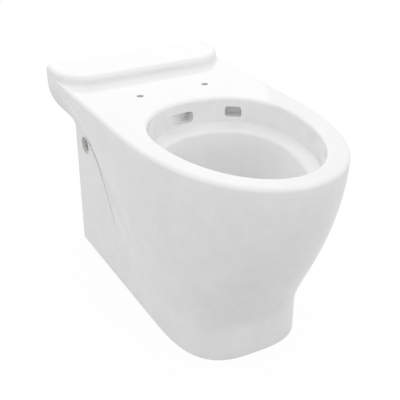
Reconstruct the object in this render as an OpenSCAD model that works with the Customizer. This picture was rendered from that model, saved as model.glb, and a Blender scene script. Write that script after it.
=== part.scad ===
// Back to wall toilet pan in vitreous china, built from the mouldings that are luted together
// before firing. Millimetres, +Z up, floor at z = 0, front towards -Y, wall at the +Y end.
// The origin lies on the floor under the middle of the pan's length and width.

/* [Overall] */
// Width of the deck
pan_w = 400; // [360:1:440]
// From the wall to the front of the rim
projection = 750; // [700:1:800]
// Height of the deck above the floor
deck_h = 450; // [430:1:480]
// Thickness of the fired china
wall_t = 10; // [8:0.5:11]

/* [Deck and rim] */
// Length of the straight sides, from the wall
straight_l = 375; // [340:1:400]
// Depth of the deck's turned-down outer edge
deck_edge_h = 25; // [20:1:30]
// Thickness of the deck plate
deck_t = 12; // [10:0.5:14]
// Radius of the deck's outer edge
edge_r = 10; // [6:0.5:12]
// Radius of the opening's edge
mouth_r = 7; // [4:0.5:9]
// Distance between the seat bolt holes
seat_gap = 155; // [130:1:180]
// Diameter of the seat bolt holes
seat_hole_d = 15; // [12:0.5:20]
// From the wall to the seat bolt holes
seat_from_wall = 239; // [215:1:250]

/* [Rear ledge] */
// Height of the ledge above the deck
ledge_h = 20; // [14:1:30]
// Depth of the ledge from the wall
ledge_d = 129.5; // [100:0.5:140]
// Plan radius of the ledge's front corners
ledge_corner_r = 75; // [40:1:90]
// Radius of the ledge's top edge
ledge_edge_r = 8; // [4:0.5:10]

/* [Opening and flush shelf] */
// Width of the opening
mouth_w = 301; // [270:1:310]
// From the opening's widest place to its front
mouth_front = 242; // [225:1:250]
// From the opening's widest place to its back
mouth_rear = 153; // [140:1:160]
// From the front of the rim to the opening's widest place
mouth_from_tip = 284; // [275:1:295]
// Depth of the shelf below the deck
shelf_drop = 57; // [50:1:62]
// Width of the shelf
shelf_w = 26; // [18:1:30]
// Fall of the shelf over its width
shelf_fall = 8; // [5:1:12]

/* [Bowl and trap] */
// Height of the trap's bottom centre line
sump_z = 76; // [70:1:84]
// From the wall to the sump's centre line
sump_from_wall = 400; // [385:1:410]
// Bore of the trapway
trap_bore = 76; // [68:1:80]
// Height of the weir's centre line
weir_z = 200; // [196:1:208]
// Bend radius of the trapway
trap_bend_r = 52; // [50:1:54]
// Height of the outlet's centre line
outlet_z = 185; // [180:1:190]
// Outer diameter of the outlet spigot
spigot_d = 102; // [100:0.5:110]
// From the wall to the end of the spigot
spigot_from_wall = 60; // [50:1:75]

/* [Flush supply] */
// Height of the flush inlet's centre line
inlet_z = 390; // [386:1:392]
// Bore of the inlet horn
inlet_bore = 55; // [50:1:56]
// Outer diameter of the flush pipe that the seal grips
flush_pipe_d = 45; // [40:1:46]
// From the wall to the mouth of the inlet horn
horn_from_wall = 75; // [65:1:90]
// Width of the right-hand flush outlet
port_w = 34; // [28:1:38]
// Height of both flush outlets
port_h = 23; // [20:1:24]
// Corner radius of the flush outlets
port_r = 5; // [3:0.5:6]

/* [Shell and foot] */
// Width of the foot
foot_w = 284; // [260:1:300]
// From the wall to the front of the foot
foot_l = 604; // [560:1:640]
// Height of the plinth at the front
plinth_h = 68; // [56:1:90]
// Height of the crease at the wall
crease_h = 319; // [300:1:325]
// From the wall to the middle of the crease's sweep
crease_from_wall = 190; // [170:1:200]
// Length over which the crease sweeps down
crease_run = 39; // [30:1:44]
// How far the skirt's edge stands proud of the side panel, at the wall
lip_t = 2; // [1:0.5:4]
// Diameter of the side access holes
side_hole_d = 42; // [36:1:50]
// From the wall to the side access holes
side_hole_from_wall = 57; // [50:1:70]
// Height of the side access holes
side_hole_z = 279; // [250:1:282]

/* [Hidden] */

$fn = 96;
china = [0.96, 0.96, 0.95];
rubber = [0.12, 0.12, 0.13];

y_wall = projection / 2;
y_tip = -projection / 2;
half_w = pan_w / 2;
half_foot = foot_w / 2;
y_round = y_wall - straight_l;          // where the straight sides end
top_b = y_round - y_tip;                // length of the rounded front, at the deck
foot_b = y_round - (y_wall - foot_l);   // and at the foot
top_p = 1.93;                           // roundness of the deck's front, across
top_q = 2.43;                           // and along
foot_p = 3.0;                           // roundness of the foot's front, across
foot_q = 3.75;                          // and along
touch = 0.3;                            // gap between pieces that meet on curved faces
past = 5;                               // how far a cutter runs past the faces that it cuts
eps = 0.01;

// ---------- outlines ----------

// A station is a place along half the outline: [y, 0] on the straight side, or [y_round, angle] round
// the front. The first station is at the wall and the last at the tip.
side_n = 24;
front_n = 18;
half_stations = concat(
    [for (i = [0:side_n - 1]) [y_wall - straight_l * i / side_n, 0]],
    [for (i = [0:front_n]) [y_round, 90 * i / front_n]]);

// Quarter of a superellipse, at angle t from its side
function curve_pt(a, b, p, q, t) =
    [a * pow(max(cos(t), 0), 2 / p), y_round - b * pow(max(sin(t), 0), 2 / q)];
function top_pt(s, d) =
    s[1] == 0 ? [half_w - d, s[0]] : curve_pt(half_w - d, top_b - d, top_p, top_q, s[1]);
function foot_pt(s, d) =
    s[1] == 0 ? [half_foot - d, s[0]] : curve_pt(half_foot - d, foot_b - d, foot_p, foot_q, s[1]);
function flip(p) = [-p.x, p.y];

// The whole outline from the right of the wall round the front to its left
function round_trip(points) =
    concat(points, [for (i = [len(points) - 2:-1:0]) flip(points[i])]);

// ---------- the flared skin ----------

flare_top = deck_h - 12;                // height at which the skin reaches the deck's outline
flare_rear = 2.45;                      // how quickly the skin widens under the deck, at the wall
flare_front = 1.64;                     // and everywhere else
flare_soft = 0.085;                     // softness of the bend above the crease, at the wall and the front
flare_soft_side = 0.4;                  // and along the sides, where the crease stays in view
lip_end_y = y_wall - 85;                // middle of the stretch over which the proud edge fades out
lip_run = 9;
crease_mid_y = y_wall - crease_from_wall;

function rise(y, mid, run) = 1 / (1 + exp(-(y - mid) / run));
function crease_z(y) = plinth_h + (crease_h - plinth_h) * rise(y, crease_mid_y, crease_run);
function flare_power(y) = flare_front + (flare_rear - flare_front) * rise(y, y_wall - 45, 15);
function softness(y) =
    flare_soft + (flare_soft_side - flare_soft) * rise(y, y_wall - 280, 25) * (1 - rise(y, y_wall - 30, 12));
function soft_start(t, soft) =
    (t - soft * (1 - exp(-t / soft))) / (1 - soft * (1 - exp(-1 / soft)));
function flare(y, z) =
    let (low = crease_z(y), t = min(1, max(0, (z - low) / (flare_top - low))))
    1 - pow(1 - soft_start(t, softness(y)), flare_power(y));
function lip(y) = lip_t * rise(y, lip_end_y, lip_run);

// Point of the skin at a station and a height, d inside the outer face
function skin_pt(s, z, d) =
    let (w = flare(s[0], z), p = (1 - w) * foot_pt(s, d) + w * top_pt(s, d))
    [p.x + (d == 0 ? lip(s[0]) * (1 - w) : 0), p.y, z];

// Half-width of the skin's inner face at a height, where a web's two faces stand
function skin_half_width(y, z, d) =
    let (table = [for (s = half_stations) let (p = skin_pt(s, z, d)) [-p.y, p.x]])
    lookup(-y, table);

// ---------- the opening ----------

mouth_cy = y_tip + mouth_from_tip;
mouth_nf = 2.0;                         // roundness of the opening's front
mouth_nr = 2.1;                         // and of its back

function oval_r(th, a, bf, br) =
    let (b = sin(th) < 0 ? bf : br, n = sin(th) < 0 ? mouth_nf : mouth_nr)
    1 / pow(pow(abs(cos(th)) / a, n) + pow(abs(sin(th)) / b, n), 1 / n);
// Point of the opening's outline in direction th, moved outwards by g
function mouth_pt(th, g) =
    let (r = oval_r(th, mouth_w / 2 + g, mouth_front + g, mouth_rear + g))
    [r * cos(th), mouth_cy + r * sin(th)];
function direction_of(p) = atan2(p.y - mouth_cy, p.x);

// ---------- solids from cross-sections ----------

// Joins cross-sections, each a closed list of points, into one solid. A ring joins the last section to
// the first, and any other run is capped at both ends.
module section_body(sections, ring = false) {
    n = len(sections);
    m = len(sections[0]);
    runs = ring ? n : n - 1;
    sides = [for (i = [0:runs - 1], j = [0:m - 1])
        let (a = i * m + j, b = i * m + (j + 1) % m, c = ((i + 1) % n) * m + j,
             d = ((i + 1) % n) * m + (j + 1) % m)
        each [[a, b, d], [a, d, c]]];
    caps = ring ? [] : [[for (j = [m - 1:-1:0]) j], [for (j = [0:m - 1]) (n - 1) * m + j]];
    polyhedron(points = [for (s = sections) each s], faces = concat(sides, caps), convexity = 10);
}

// Points of a quarter round from angle a0 to a1, about a centre, as [offset, height]
function arc_pts(c, r, a0, a1, n) =
    [for (i = [0:n]) let (a = a0 + (a1 - a0) * i / n) [c[0] + r * cos(a), c[1] + r * sin(a)]];

// ---------- deck and rim ----------

join_z = deck_h - deck_edge_h;          // where the skirt meets the deck's edge
rim_turn = 16;                          // how far the rim turns down into the opening
mouth_join_z = deck_h - rim_turn;
under_z = deck_h - deck_t;
back_n = 14;
ledge_y = y_wall - ledge_d;
ledge_inset = 0.5;                      // from the deck's side to the ledge's

// The edge radius shrinks under the ledge, whose sides are nearly flush with the deck's
function edge_r_at(y) =
    let (k = min(1, max(0, (y - ledge_y) / ledge_corner_r)))
    edge_r - (edge_r - ledge_inset) * k;

module rim_deck() {
    right = [for (s = half_stations) rim_section(s, 1)];
    left = [for (i = [len(half_stations) - 2:-1:0]) rim_section(half_stations[i], -1)];
    back = [for (i = [1:back_n - 1]) back_section(-half_w + pan_w * i / back_n)];
    color(china)
    difference() {
        section_body(concat(right, left, back), ring = true);
        for (side = [-1, 1])
            translate([side * seat_gap / 2, y_wall - seat_from_wall, under_z - past])
                cylinder(d = seat_hole_d, h = deck_t + 2 * past);
    }
}

// Opening side of every rim section: over the edge, down to the flush wall, and back under the deck
function mouth_side(th) =
    concat(
        [for (p = arc_pts([mouth_r, deck_h - mouth_r], mouth_r, 90, 180, 4)) [each mouth_pt(th, p[0]), p[1]]],
        [[each mouth_pt(th, 0), mouth_join_z],
         [each mouth_pt(th, wall_t), mouth_join_z],
         [each mouth_pt(th, wall_t), under_z]]);

function rim_section(s, side) =
    let (r = edge_r_at(s[0]),
         fix = function(p) [side * p.x, p.y, p.z],
         skin = [for (z = [join_z, deck_h - (deck_edge_h + r) / 2]) fix(skin_pt(s, z, 0))],
         over = [for (a = [0:22.5:90]) let (p = top_pt(s, r * (1 - cos(a))))
                 fix([p.x, p.y, deck_h - r * (1 - sin(a))])],
         under = top_pt(s, wall_t),
         low = skin_pt(s, join_z, wall_t),
         clip = function(p) [p.x, min(p.y, y_wall - wall_t), p.z],
         inside = [fix(clip([under.x, under.y, under_z])), fix(clip([low.x, low.y, join_z]))],
         th = direction_of(fix([top_pt(s, 0).x, top_pt(s, 0).y, 0])))
    concat(skin, over, mouth_side(th), inside);

function back_section(x) =
    let (r = ledge_inset,
         z_mid = deck_h - (deck_edge_h + r) / 2,
         low_half = skin_pt(half_stations[0], join_z, 0).x,
         k = x / half_w,
         outer = [[k * low_half, y_wall, join_z], [x, y_wall, z_mid]],
         over = [for (a = [0:22.5:90])
                 [k * (half_w - r * (1 - cos(a))), y_wall, deck_h - r * (1 - sin(a))]],
         in_top = top_pt(half_stations[0], wall_t).x,
         in_low = skin_pt(half_stations[0], join_z, wall_t).x,
         inside = [[k * in_top, y_wall - wall_t, under_z], [k * in_low, y_wall - wall_t, join_z]],
         th = direction_of([x, y_wall]))
    concat(outer, over, mouth_side(th), inside);

// ---------- rear ledge ----------

ledge_top = deck_h + ledge_h;
ledge_pocket_h = 9;                     // depth of the pocket under the ledge

// Plan of the ledge, d inside its outline
function ledge_plan(d) =
    let (r = ledge_corner_r - d, w = half_w - ledge_inset - d, y0 = ledge_y + d,
         corner = [for (a = [0:7.5:90]) [w - r + r * cos(a), y0 + r - r * sin(a)]],
         half = concat([[w, y_wall]], corner))
    concat(half, [for (i = [len(half) - 1:-1:0]) flip(half[i])]);
function ledge_ring(d, z) = [for (p = ledge_plan(d)) [p.x, p.y, z]];

module rear_ledge() {
    rings = concat(
        [ledge_ring(0, deck_h)],
        [for (a = [0:22.5:90])
            ledge_ring(ledge_edge_r * (1 - cos(a)), ledge_top - ledge_edge_r * (1 - sin(a)))]);
    color(china)
    difference() {
        section_body(rings);
        translate([0, 0, deck_h - eps])
            linear_extrude(ledge_pocket_h)
                intersection() {
                    polygon(ledge_plan(2 * wall_t));
                    translate([-half_w, ledge_y])
                        square([pan_w, ledge_d - wall_t]);
                }
    }
}

// ---------- flush wall and shelf ----------

shelf_z = deck_h - shelf_drop;
shelf_edge_w = 6;                       // the shelf's rounded inner edge: its width
shelf_edge_h = 1.5;                     // and its drop on either side of the corner
shelf_step = 2.5;                       // from the shelf's inner corner to the bowl
shelf_heel_h = 6;                       // depth of the shelf's underside under the opening's outline
bowl_top_z = shelf_z - shelf_fall - shelf_edge_w;
bowl_inset = shelf_w + shelf_step;      // from the opening's outline to the bowl's
shelf_fillet = 8;
wall_low_z = shelf_z + 3;               // where the flush wall stands on the shelf
fillet_split = asin((shelf_z + shelf_fillet - wall_low_z) / shelf_fillet);
fillet_end = 67.5;
ring_n = 96;

// Points of the fillet between the wall and the shelf, as [offset, height]
function fillet_pts(a0, a1, n) =
    arc_pts([-shelf_fillet, shelf_z + shelf_fillet], shelf_fillet, -a0, -a1, n);

wall_profile = concat(
    [[0, mouth_join_z]], fillet_pts(0, fillet_split, 2), [[wall_t, wall_low_z], [wall_t, mouth_join_z]]);
shelf_profile = concat(
    fillet_pts(fillet_split, fillet_end, 2),
    [[shelf_edge_w - shelf_w, shelf_z - shelf_fall + shelf_edge_h],
     [-shelf_w, shelf_z - shelf_fall - shelf_edge_h],
     [-bowl_inset, bowl_top_z], [wall_t - bowl_inset, bowl_top_z],
     [wall_t + shelf_edge_w - shelf_w, bowl_top_z + shelf_edge_h],
     [0, shelf_z - shelf_heel_h], [wall_t, shelf_z], [wall_t, wall_low_z]]);

// Right-hand outlet: its direction from the opening's centre, and the wall's normal there
port_dir = 54.5;
port_z = deck_h - 32.5;
port_pos = mouth_pt(port_dir, 0);
port_turn = -35;                        // heading of the port's axis from +Y
// Rear outlet: a scoop that is deepest at its right end, where it opens into the duct
scoop_x = 2;                            // the right end, at the back
scoop_z = deck_h - 37;
scoop_turn = -65.5;                     // heading of the scoop from +Y
scoop_back = 16;                        // depth behind the opening's outline, at the right end
scoop_w = 40;
scoop_l = 60;

module round_slot(w, h, r, depth) {
    linear_extrude(depth, center = true)
        union() {
            square([w - 2 * r, h], center = true);
            square([w, h - 2 * r], center = true);
            for (sx = [-1, 1], sy = [-1, 1])
                translate([sx * (w / 2 - r), sy * (h / 2 - r)])
                    circle(r);
        }
}

module port_cut() {
    translate([port_pos.x, port_pos.y, port_z])
        rotate([0, 0, port_turn])
            rotate([90, 0, 0])
                round_slot(port_w, port_h, port_r, 5 * wall_t);
}

module scoop_cut() {
    translate([scoop_x, mouth_cy + mouth_rear + scoop_back, scoop_z])
        rotate([0, 0, scoop_turn])
            translate([scoop_w / 2, -scoop_l / 2, 0])
                rotate([90, 0, 0])
                    round_slot(scoop_w, port_h, port_r, scoop_l);
}

// Stretch of the ring round the opening, between two of its sections
module ring_run(profile, i0, i1) {
    section_body([for (i = [i0:i1]) [for (p = profile) [each mouth_pt(360 * i / ring_n, p[0]), p[1]]]]);
}

right_block = [10, 19];                 // sections at the ends of the block round the right outlet
rear_block = [22, 34];                  // and of the block round the rear outlet

module flush_wall() {
    color(china) {
        ring_run(wall_profile, rear_block[1], ring_n + right_block[0]);
        ring_run(wall_profile, right_block[1], rear_block[0]);
    }
}

module right_port_block() {
    color(china)
    difference() {
        ring_run(wall_profile, right_block[0], right_block[1]);
        port_cut();
    }
}

module rear_port_block() {
    color(china)
    difference() {
        ring_run(wall_profile, rear_block[0], rear_block[1]);
        scoop_cut();
    }
}

module flush_shelf() {
    color(china)
        section_body([for (i = [0:ring_n - 1])
            [for (p = shelf_profile) [each mouth_pt(360 * i / ring_n, p[0]), p[1]]]], ring = true);
}

// ---------- bowl ----------

sump_y = y_wall - sump_from_wall;
sump_r = 46;
sump_top_z = 130;
bowl_levels = 12;
bowl_n = 72;

// Depth fraction 0 is the shelf's edge and 1 the top of the sump
function bowl_z(k) = bowl_top_z + (sump_top_z - bowl_top_z) * k;
function mix(a, b, k) = a + (b - a) * k;
function bowl_half(k) = mix(mouth_w / 2 - bowl_inset, sump_r, pow(k, 1.35));
function bowl_front(k) = mix(mouth_cy - mouth_front + bowl_inset, sump_y - sump_r, pow(k, 0.95));
function bowl_rear(k) = mix(mouth_cy + mouth_rear - bowl_inset, sump_y + sump_r, pow(k, 1.5));
function bowl_cy(k) = mix(mouth_cy, sump_y, k);
function bowl_pt(k, th, g) =
    let (c = bowl_cy(k),
         r = oval_r(th, bowl_half(k) + g, c - bowl_front(k) + g, bowl_rear(k) - c + g))
    [r * cos(th), c + r * sin(th), bowl_z(k)];

module bowl() {
    sections = [for (i = [0:bowl_n - 1]) let (th = 360 * i / bowl_n)
        concat([for (j = [0:bowl_levels]) bowl_pt(j / bowl_levels, th, 0)],
               [for (j = [bowl_levels:-1:0]) bowl_pt(j / bowl_levels, th, wall_t)])];
    color(china)
        section_body(sections, ring = true);
}

// ---------- sump, trapway and outlet ----------

trap_r = trap_bore / 2;
stub_l = 36;                            // straight length of the sump's outlet
stub_end_y = sump_y + sump_r + wall_t + stub_l;
sump_round = 34;

module sump_cup(g) {
    r = sump_r + g;
    q = sump_round + g;
    z0 = sump_z - trap_r - g;
    translate([0, sump_y, 0])
        rotate_extrude()
            polygon(concat([[0, z0]],
                           [for (a = [-90:15:0]) [r - q + q * cos(a), z0 + q + q * sin(a)]],
                           [[r, sump_top_z], [0, sump_top_z]]));
}

module along_y(x, y0, y1, z, r) {
    translate([x, y0, z])
        rotate([-90, 0, 0])
            cylinder(r = r, h = y1 - y0);
}

module sump() {
    color(china)
    difference() {
        union() {
            sump_cup(wall_t);
            along_y(0, sump_y, stub_end_y, sump_z, trap_r + wall_t);
        }
        union() {
            sump_cup(0);
            translate([0, sump_y, sump_top_z - 1])
                cylinder(r = sump_r, h = 2);
            along_y(0, sump_y, stub_end_y + 1, sump_z, trap_r);
        }
    }
}

// Centre line of the trapway as [y, z, heading]: up a quarter bend, a short rise, over the weir and
// down to the outlet's height
trap_down = 12;                         // fall of the trapway behind the weir, in degrees
rise_y = stub_end_y + trap_bend_r;
weir_cz = weir_z - trap_bend_r;
crest_y = rise_y + trap_bend_r;
exit_r = 90;
slope_start = [crest_y + trap_bend_r * sin(trap_down), weir_cz + trap_bend_r * cos(trap_down)];
exit_drop = exit_r * (1 - cos(trap_down));
slope_len = (slope_start[1] - outlet_z - exit_drop) / sin(trap_down);
slope_end = [slope_start[0] + slope_len * cos(trap_down), slope_start[1] - slope_len * sin(trap_down)];
spigot_start_y = slope_end[0] + exit_r * sin(trap_down);

trap_line = concat(
    [for (a = [0:15:90]) [stub_end_y + trap_bend_r * sin(a), sump_z + trap_bend_r * (1 - cos(a)), a]],
    [for (a = [90:-12.75:-trap_down])
        [crest_y - trap_bend_r * sin(a), weir_cz + trap_bend_r * cos(a), a]],
    [for (a = [-trap_down:4:0])
        [spigot_start_y + exit_r * sin(a), outlet_z + exit_r * (1 - cos(a)), a]]);

function tube_ring(c, r, n) =
    [for (i = [0:n - 1]) let (a = 360 * i / n, up = r * cos(a))
        [r * sin(a), c[0] - up * sin(c[2]), c[1] + up * cos(c[2])]];

trap_sides = 32;

module trapway() {
    n = trap_sides;
    m = len(trap_line);
    outer = [for (c = trap_line) each tube_ring(c, trap_r + wall_t, n)];
    inner = [for (c = trap_line) each tube_ring(c, trap_r, n)];
    base = n * m;
    walls = [for (i = [0:m - 2], j = [0:n - 1])
        let (a = i * n + j, b = i * n + (j + 1) % n, c = a + n, d = b + n)
        each [[a, c, d], [a, d, b], [base + a, base + d, base + c], [base + a, base + b, base + d]]];
    last = n * (m - 1);
    ends = [for (j = [0:n - 1]) let (k = (j + 1) % n)
        each [[j, k, base + k], [j, base + k, base + j],
              [last + j, base + last + k, last + k], [last + j, base + last + j, base + last + k]]];
    color(china)
        polyhedron(points = concat(outer, inner), faces = concat(walls, ends), convexity = 10);
}

spigot_end_y = y_wall - spigot_from_wall;
spigot_neck = 12;                       // plain length that rests in the bridge
spigot_shoulder = 6;

module outlet_spigot() {
    r = spigot_d / 2;
    len = spigot_end_y - spigot_start_y;
    color(china)
    translate([0, spigot_start_y, outlet_z])
        rotate([-90, 0, 0])
            rotate_extrude()
                polygon([[trap_r, 0], [trap_r + wall_t, 0], [trap_r + wall_t, spigot_neck],
                         [r, spigot_neck + spigot_shoulder], [r, len], [trap_r, len]]);
}

// ---------- flush supply ----------

duct_t = 6;                             // china is thinner in the hidden ducts
duct_low = wall_low_z;
duct_high = mouth_join_z;
duct_d = 38;                            // depth of the ducts behind the flush wall
duct_band = 44;                         // and where the wall curves away
duct_back_y = mouth_cy + mouth_rear + wall_t + duct_d;
chamber_w = 110;
chamber_d = 44;
chamber_drop = 38;                      // from the inlet's centre line to the chamber's floor
chamber_low = inlet_z - chamber_drop;
horn_r = inlet_bore / 2 + wall_t;
horn_end_y = y_wall - horn_from_wall;

module mouth_area(g) {
    polygon([for (i = [0:ring_n - 1]) mouth_pt(360 * i / ring_n, g)]);
}

// Plan of a duct that lies against the flush wall between two x values
module duct_plan(x0, x1, back, inset) {
    difference() {
        translate([x0 + inset, mouth_cy])
            square([x1 - x0 - 2 * inset, back - mouth_cy - inset]);
        mouth_area(wall_t + touch);
        // the duct ends a fixed distance from the flush wall where that curves away
        difference() {
            translate([x0 - 1, mouth_cy - 1])
                square([x1 - x0 + 2, back - mouth_cy + 2]);
            mouth_area(wall_t + duct_band - inset);
        }
    }
}

module duct(x0, x1) {
    difference() {
        translate([0, 0, duct_low])
            linear_extrude(duct_high - duct_low)
                duct_plan(x0, x1, duct_back_y, 0);
        translate([0, 0, duct_low + duct_t])
            linear_extrude(duct_high - duct_low - 2 * duct_t)
                duct_plan(x0, x1, duct_back_y, duct_t);
    }
}

split_x = 26;                           // wall between the two ducts
module jet_duct_left() {
    color(china)
    difference() {
        duct(-chamber_w / 2, split_x);
        chamber_way(-chamber_w / 2 + 2 * duct_t, split_x - duct_t);
    }
}

module jet_duct_right() {
    color(china)
    difference() {
        duct(split_x, port_pos.x + port_w);
        chamber_way(split_x + duct_t, chamber_w / 2 - 2 * duct_t);
    }
}

// Opening through which the chamber feeds a duct
module chamber_way(x0, x1) {
    translate([x0, duct_back_y - 2 * duct_t, duct_low + duct_t])
        cube([x1 - x0, 4 * duct_t, duct_high - duct_low - 2 * duct_t]);
}

module flush_chamber() {
    color(china)
    difference() {
        translate([-chamber_w / 2, duct_back_y, chamber_low])
            cube([chamber_w, chamber_d, duct_high - chamber_low]);
        translate([duct_t - chamber_w / 2, duct_back_y + duct_t, chamber_low + duct_t])
            cube([chamber_w - 2 * duct_t, chamber_d - 2 * duct_t, duct_high - chamber_low - 2 * duct_t]);
        chamber_way(-chamber_w / 2 + 2 * duct_t, split_x - duct_t);
        chamber_way(split_x + duct_t, chamber_w / 2 - 2 * duct_t);
        along_y(0, duct_back_y + chamber_d - 2 * duct_t, duct_back_y + chamber_d + 1, inlet_z,
                inlet_bore / 2);
    }
}

seal_l = 30;
seal_flange_t = 4;
seal_flange_r = 33;

module inlet_horn() {
    y0 = duct_back_y + chamber_d;
    color(china)
    difference() {
        along_y(0, y0, horn_end_y, inlet_z, horn_r);
        along_y(0, y0 - 1, horn_end_y + 1, inlet_z, inlet_bore / 2);
    }
}

module inlet_seal() {
    color(rubber)
    difference() {
        union() {
            along_y(0, horn_end_y - seal_l, horn_end_y, inlet_z, inlet_bore / 2);
            along_y(0, horn_end_y, horn_end_y + seal_flange_t, inlet_z, seal_flange_r);
        }
        along_y(0, horn_end_y - seal_l - 1, horn_end_y + seal_flange_t + 1, inlet_z, flush_pipe_d / 2);
    }
}

// ---------- skirt, plinth and what stiffens them ----------

skirt_levels = 14;

function skirt_section(s, side) =
    let (low = crease_z(s[0]),
         zs = [for (i = [0:skirt_levels]) low + (join_z - low) * pow(i / skirt_levels, 1.25)],
         outer = [for (z = zs) skin_pt(s, z, 0)],
         inner = [for (i = [skirt_levels:-1:0]) skin_pt(s, zs[i], wall_t)])
    [for (p = concat(outer, inner)) [side * p.x, p.y, p.z]];

// Each half of the skirt runs from the wall to the joint at the middle of the front
module skirt_right() {
    color(china)
        section_body([for (s = half_stations) skirt_section(s, 1)]);
}

module skirt_left() {
    last = len(half_stations) - 1;
    color(china)
        section_body([for (i = [last:-1:0]) skirt_section(half_stations[i], -1)]);
}

module foot_area(d) {
    polygon(round_trip([for (s = half_stations) foot_pt(s, d)]));
}

// Side view of what lies under the crease, extruded across the pan
module under_crease() {
    ys = concat([for (s = half_stations) if (s[1] == 0) s[0]], [y_tip]);
    translate([-half_w, 0, 0])
        rotate([90, 0, 90])
            linear_extrude(pan_w)
                polygon(concat([[y_wall, 0]], [for (y = ys) [y, crease_z(y)]], [[y_tip, 0]]));
}

module side_panel(side) {
    color(china)
    difference() {
        intersection() {
            translate([side * (half_foot - wall_t / 2) - wall_t / 2, y_round, 0])
                cube([wall_t, y_wall - y_round, crease_h]);
            under_crease();
        }
        translate([side * half_foot, y_wall - side_hole_from_wall, side_hole_z])
            rotate([0, 90, 0])
                cylinder(d = side_hole_d, h = 3 * wall_t, center = true);
    }
}

module side_panel_left() { side_panel(-1); }
module side_panel_right() { side_panel(1); }

module foot_front() {
    color(china)
    intersection() {
        linear_extrude(crease_h)
            difference() {
                foot_area(0);
                foot_area(wall_t);
                translate([-half_w, y_round])
                    square([pan_w, y_wall]);
            }
        under_crease();
    }
}

foot_ring_w = 14;
foot_ring_h = 14;
tie_d = 22;
tie_h = 30;
tie_y = y_wall - 25;

module foot_ring() {
    color(china)
        linear_extrude(foot_ring_h)
            difference() {
                foot_area(wall_t);
                foot_area(wall_t + foot_ring_w);
                translate([-half_w, tie_y])
                    square([pan_w, y_wall]);
            }
}

module rear_tie() {
    color(china)
        translate([wall_t - half_foot, tie_y, 0])
            cube([foot_w - 2 * wall_t, tie_d, tie_h]);
}

bridge_t = 10;
bridge_low = 105;

module outlet_bridge() {
    y0 = spigot_start_y + (spigot_neck - bridge_t) / 2;
    color(china)
    difference() {
        translate([wall_t - half_foot, y0, bridge_low])
            cube([foot_w - 2 * wall_t, bridge_t, outlet_z - bridge_low]);
        along_y(0, y0 - 1, y0 + bridge_t + 1, outlet_z, trap_r + wall_t + touch);
    }
}

web_t = 8;
web_y = mouth_cy - 10;
web_low_k = 0.72;                       // depth fraction of the bowl at the webs' lower edge
web_high_k = 0.12;
web_n = 10;

function web_k(i) = mix(web_high_k, web_low_k, i / web_n);
// Half-width of the bowl's outer face where a web stands
function bowl_half_width(y, k) =
    let (table = [for (i = [-bowl_n / 4:bowl_n / 4])
                  let (p = bowl_pt(k, 360 * i / bowl_n, wall_t)) [p.y, p.x]])
    lookup(y, table);

web_clear = 0.5;                        // room for the curve of both walls between two levels
web_faces = [web_y - web_t / 2, web_y + web_t / 2];
module web(side) {
    inner = [for (i = [0:web_n]) let (k = web_k(i))
        [max([for (y = web_faces) bowl_half_width(y, k)]) + web_clear, bowl_z(k)]];
    outer = [for (i = [web_n:-1:0]) let (z = bowl_z(web_k(i)))
        [min([for (y = web_faces) skin_half_width(y, z, wall_t)]) - web_clear, z]];
    color(china)
        translate([0, web_y + web_t / 2, 0])
            rotate([90, 0, 0])
                linear_extrude(web_t)
                    polygon([for (p = concat(inner, outer)) [side * p.x, p.y]]);
}

module web_left() { web(-1); }
module web_right() { web(1); }

module web_front() {
    tip = [y_round, 90];
    inner = [for (i = [0:web_n]) let (k = web_k(i)) [bowl_front(k) - wall_t - web_clear, bowl_z(k)]];
    outer = [for (i = [web_n:-1:0]) let (z = bowl_z(web_k(i))) [skin_pt(tip, z, wall_t).y + web_clear, z]];
    color(china)
        translate([-web_t / 2, 0, 0])
            rotate([90, 0, 90])
                linear_extrude(web_t)
                    polygon(concat(inner, outer));
}

pad_t = 6;
pad_w = 16;
pad_clear = 2;                          // from the access hole's edge to the pad's
module hole_pad(side) {
    color(china)
        translate([side * (half_foot - wall_t - pad_t / 2), y_wall - side_hole_from_wall, side_hole_z])
            rotate([0, 90, 0])
                difference() {
                    cylinder(d = side_hole_d + 2 * pad_w, h = pad_t, center = true);
                    cylinder(d = side_hole_d + 2 * pad_clear, h = pad_t + 2, center = true);
                }
}

module hole_pad_left() { hole_pad(-1); }
module hole_pad_right() { hole_pad(1); }

rim_deck();
rear_ledge();
flush_wall();
right_port_block();
rear_port_block();
flush_shelf();
bowl();
sump();
trapway();
outlet_spigot();
flush_chamber();
jet_duct_left();
jet_duct_right();
inlet_horn();
inlet_seal();
skirt_left();
skirt_right();
side_panel_left();
side_panel_right();
foot_front();
foot_ring();
rear_tie();
outlet_bridge();
web_left();
web_right();
web_front();
hole_pad_left();
hole_pad_right();
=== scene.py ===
import bpy
import bmesh
import numpy as np
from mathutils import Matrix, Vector
from mathutils.geometry import delaunay_2d_cdt


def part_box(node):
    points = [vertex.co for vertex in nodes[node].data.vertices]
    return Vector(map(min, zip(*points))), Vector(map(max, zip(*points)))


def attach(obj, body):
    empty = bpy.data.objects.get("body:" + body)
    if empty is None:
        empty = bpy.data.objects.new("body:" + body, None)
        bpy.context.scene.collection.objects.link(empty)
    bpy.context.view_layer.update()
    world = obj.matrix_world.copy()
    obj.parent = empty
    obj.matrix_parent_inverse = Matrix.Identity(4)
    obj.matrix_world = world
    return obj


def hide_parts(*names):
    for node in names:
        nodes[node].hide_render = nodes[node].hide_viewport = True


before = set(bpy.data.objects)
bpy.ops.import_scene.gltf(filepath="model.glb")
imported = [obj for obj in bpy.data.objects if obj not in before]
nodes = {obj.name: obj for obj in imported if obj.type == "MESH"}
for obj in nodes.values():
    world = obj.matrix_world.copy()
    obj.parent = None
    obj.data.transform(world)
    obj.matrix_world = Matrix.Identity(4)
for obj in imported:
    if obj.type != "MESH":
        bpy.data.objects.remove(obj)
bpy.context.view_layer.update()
print("frame loaded:", len(nodes), "nodes")

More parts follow.
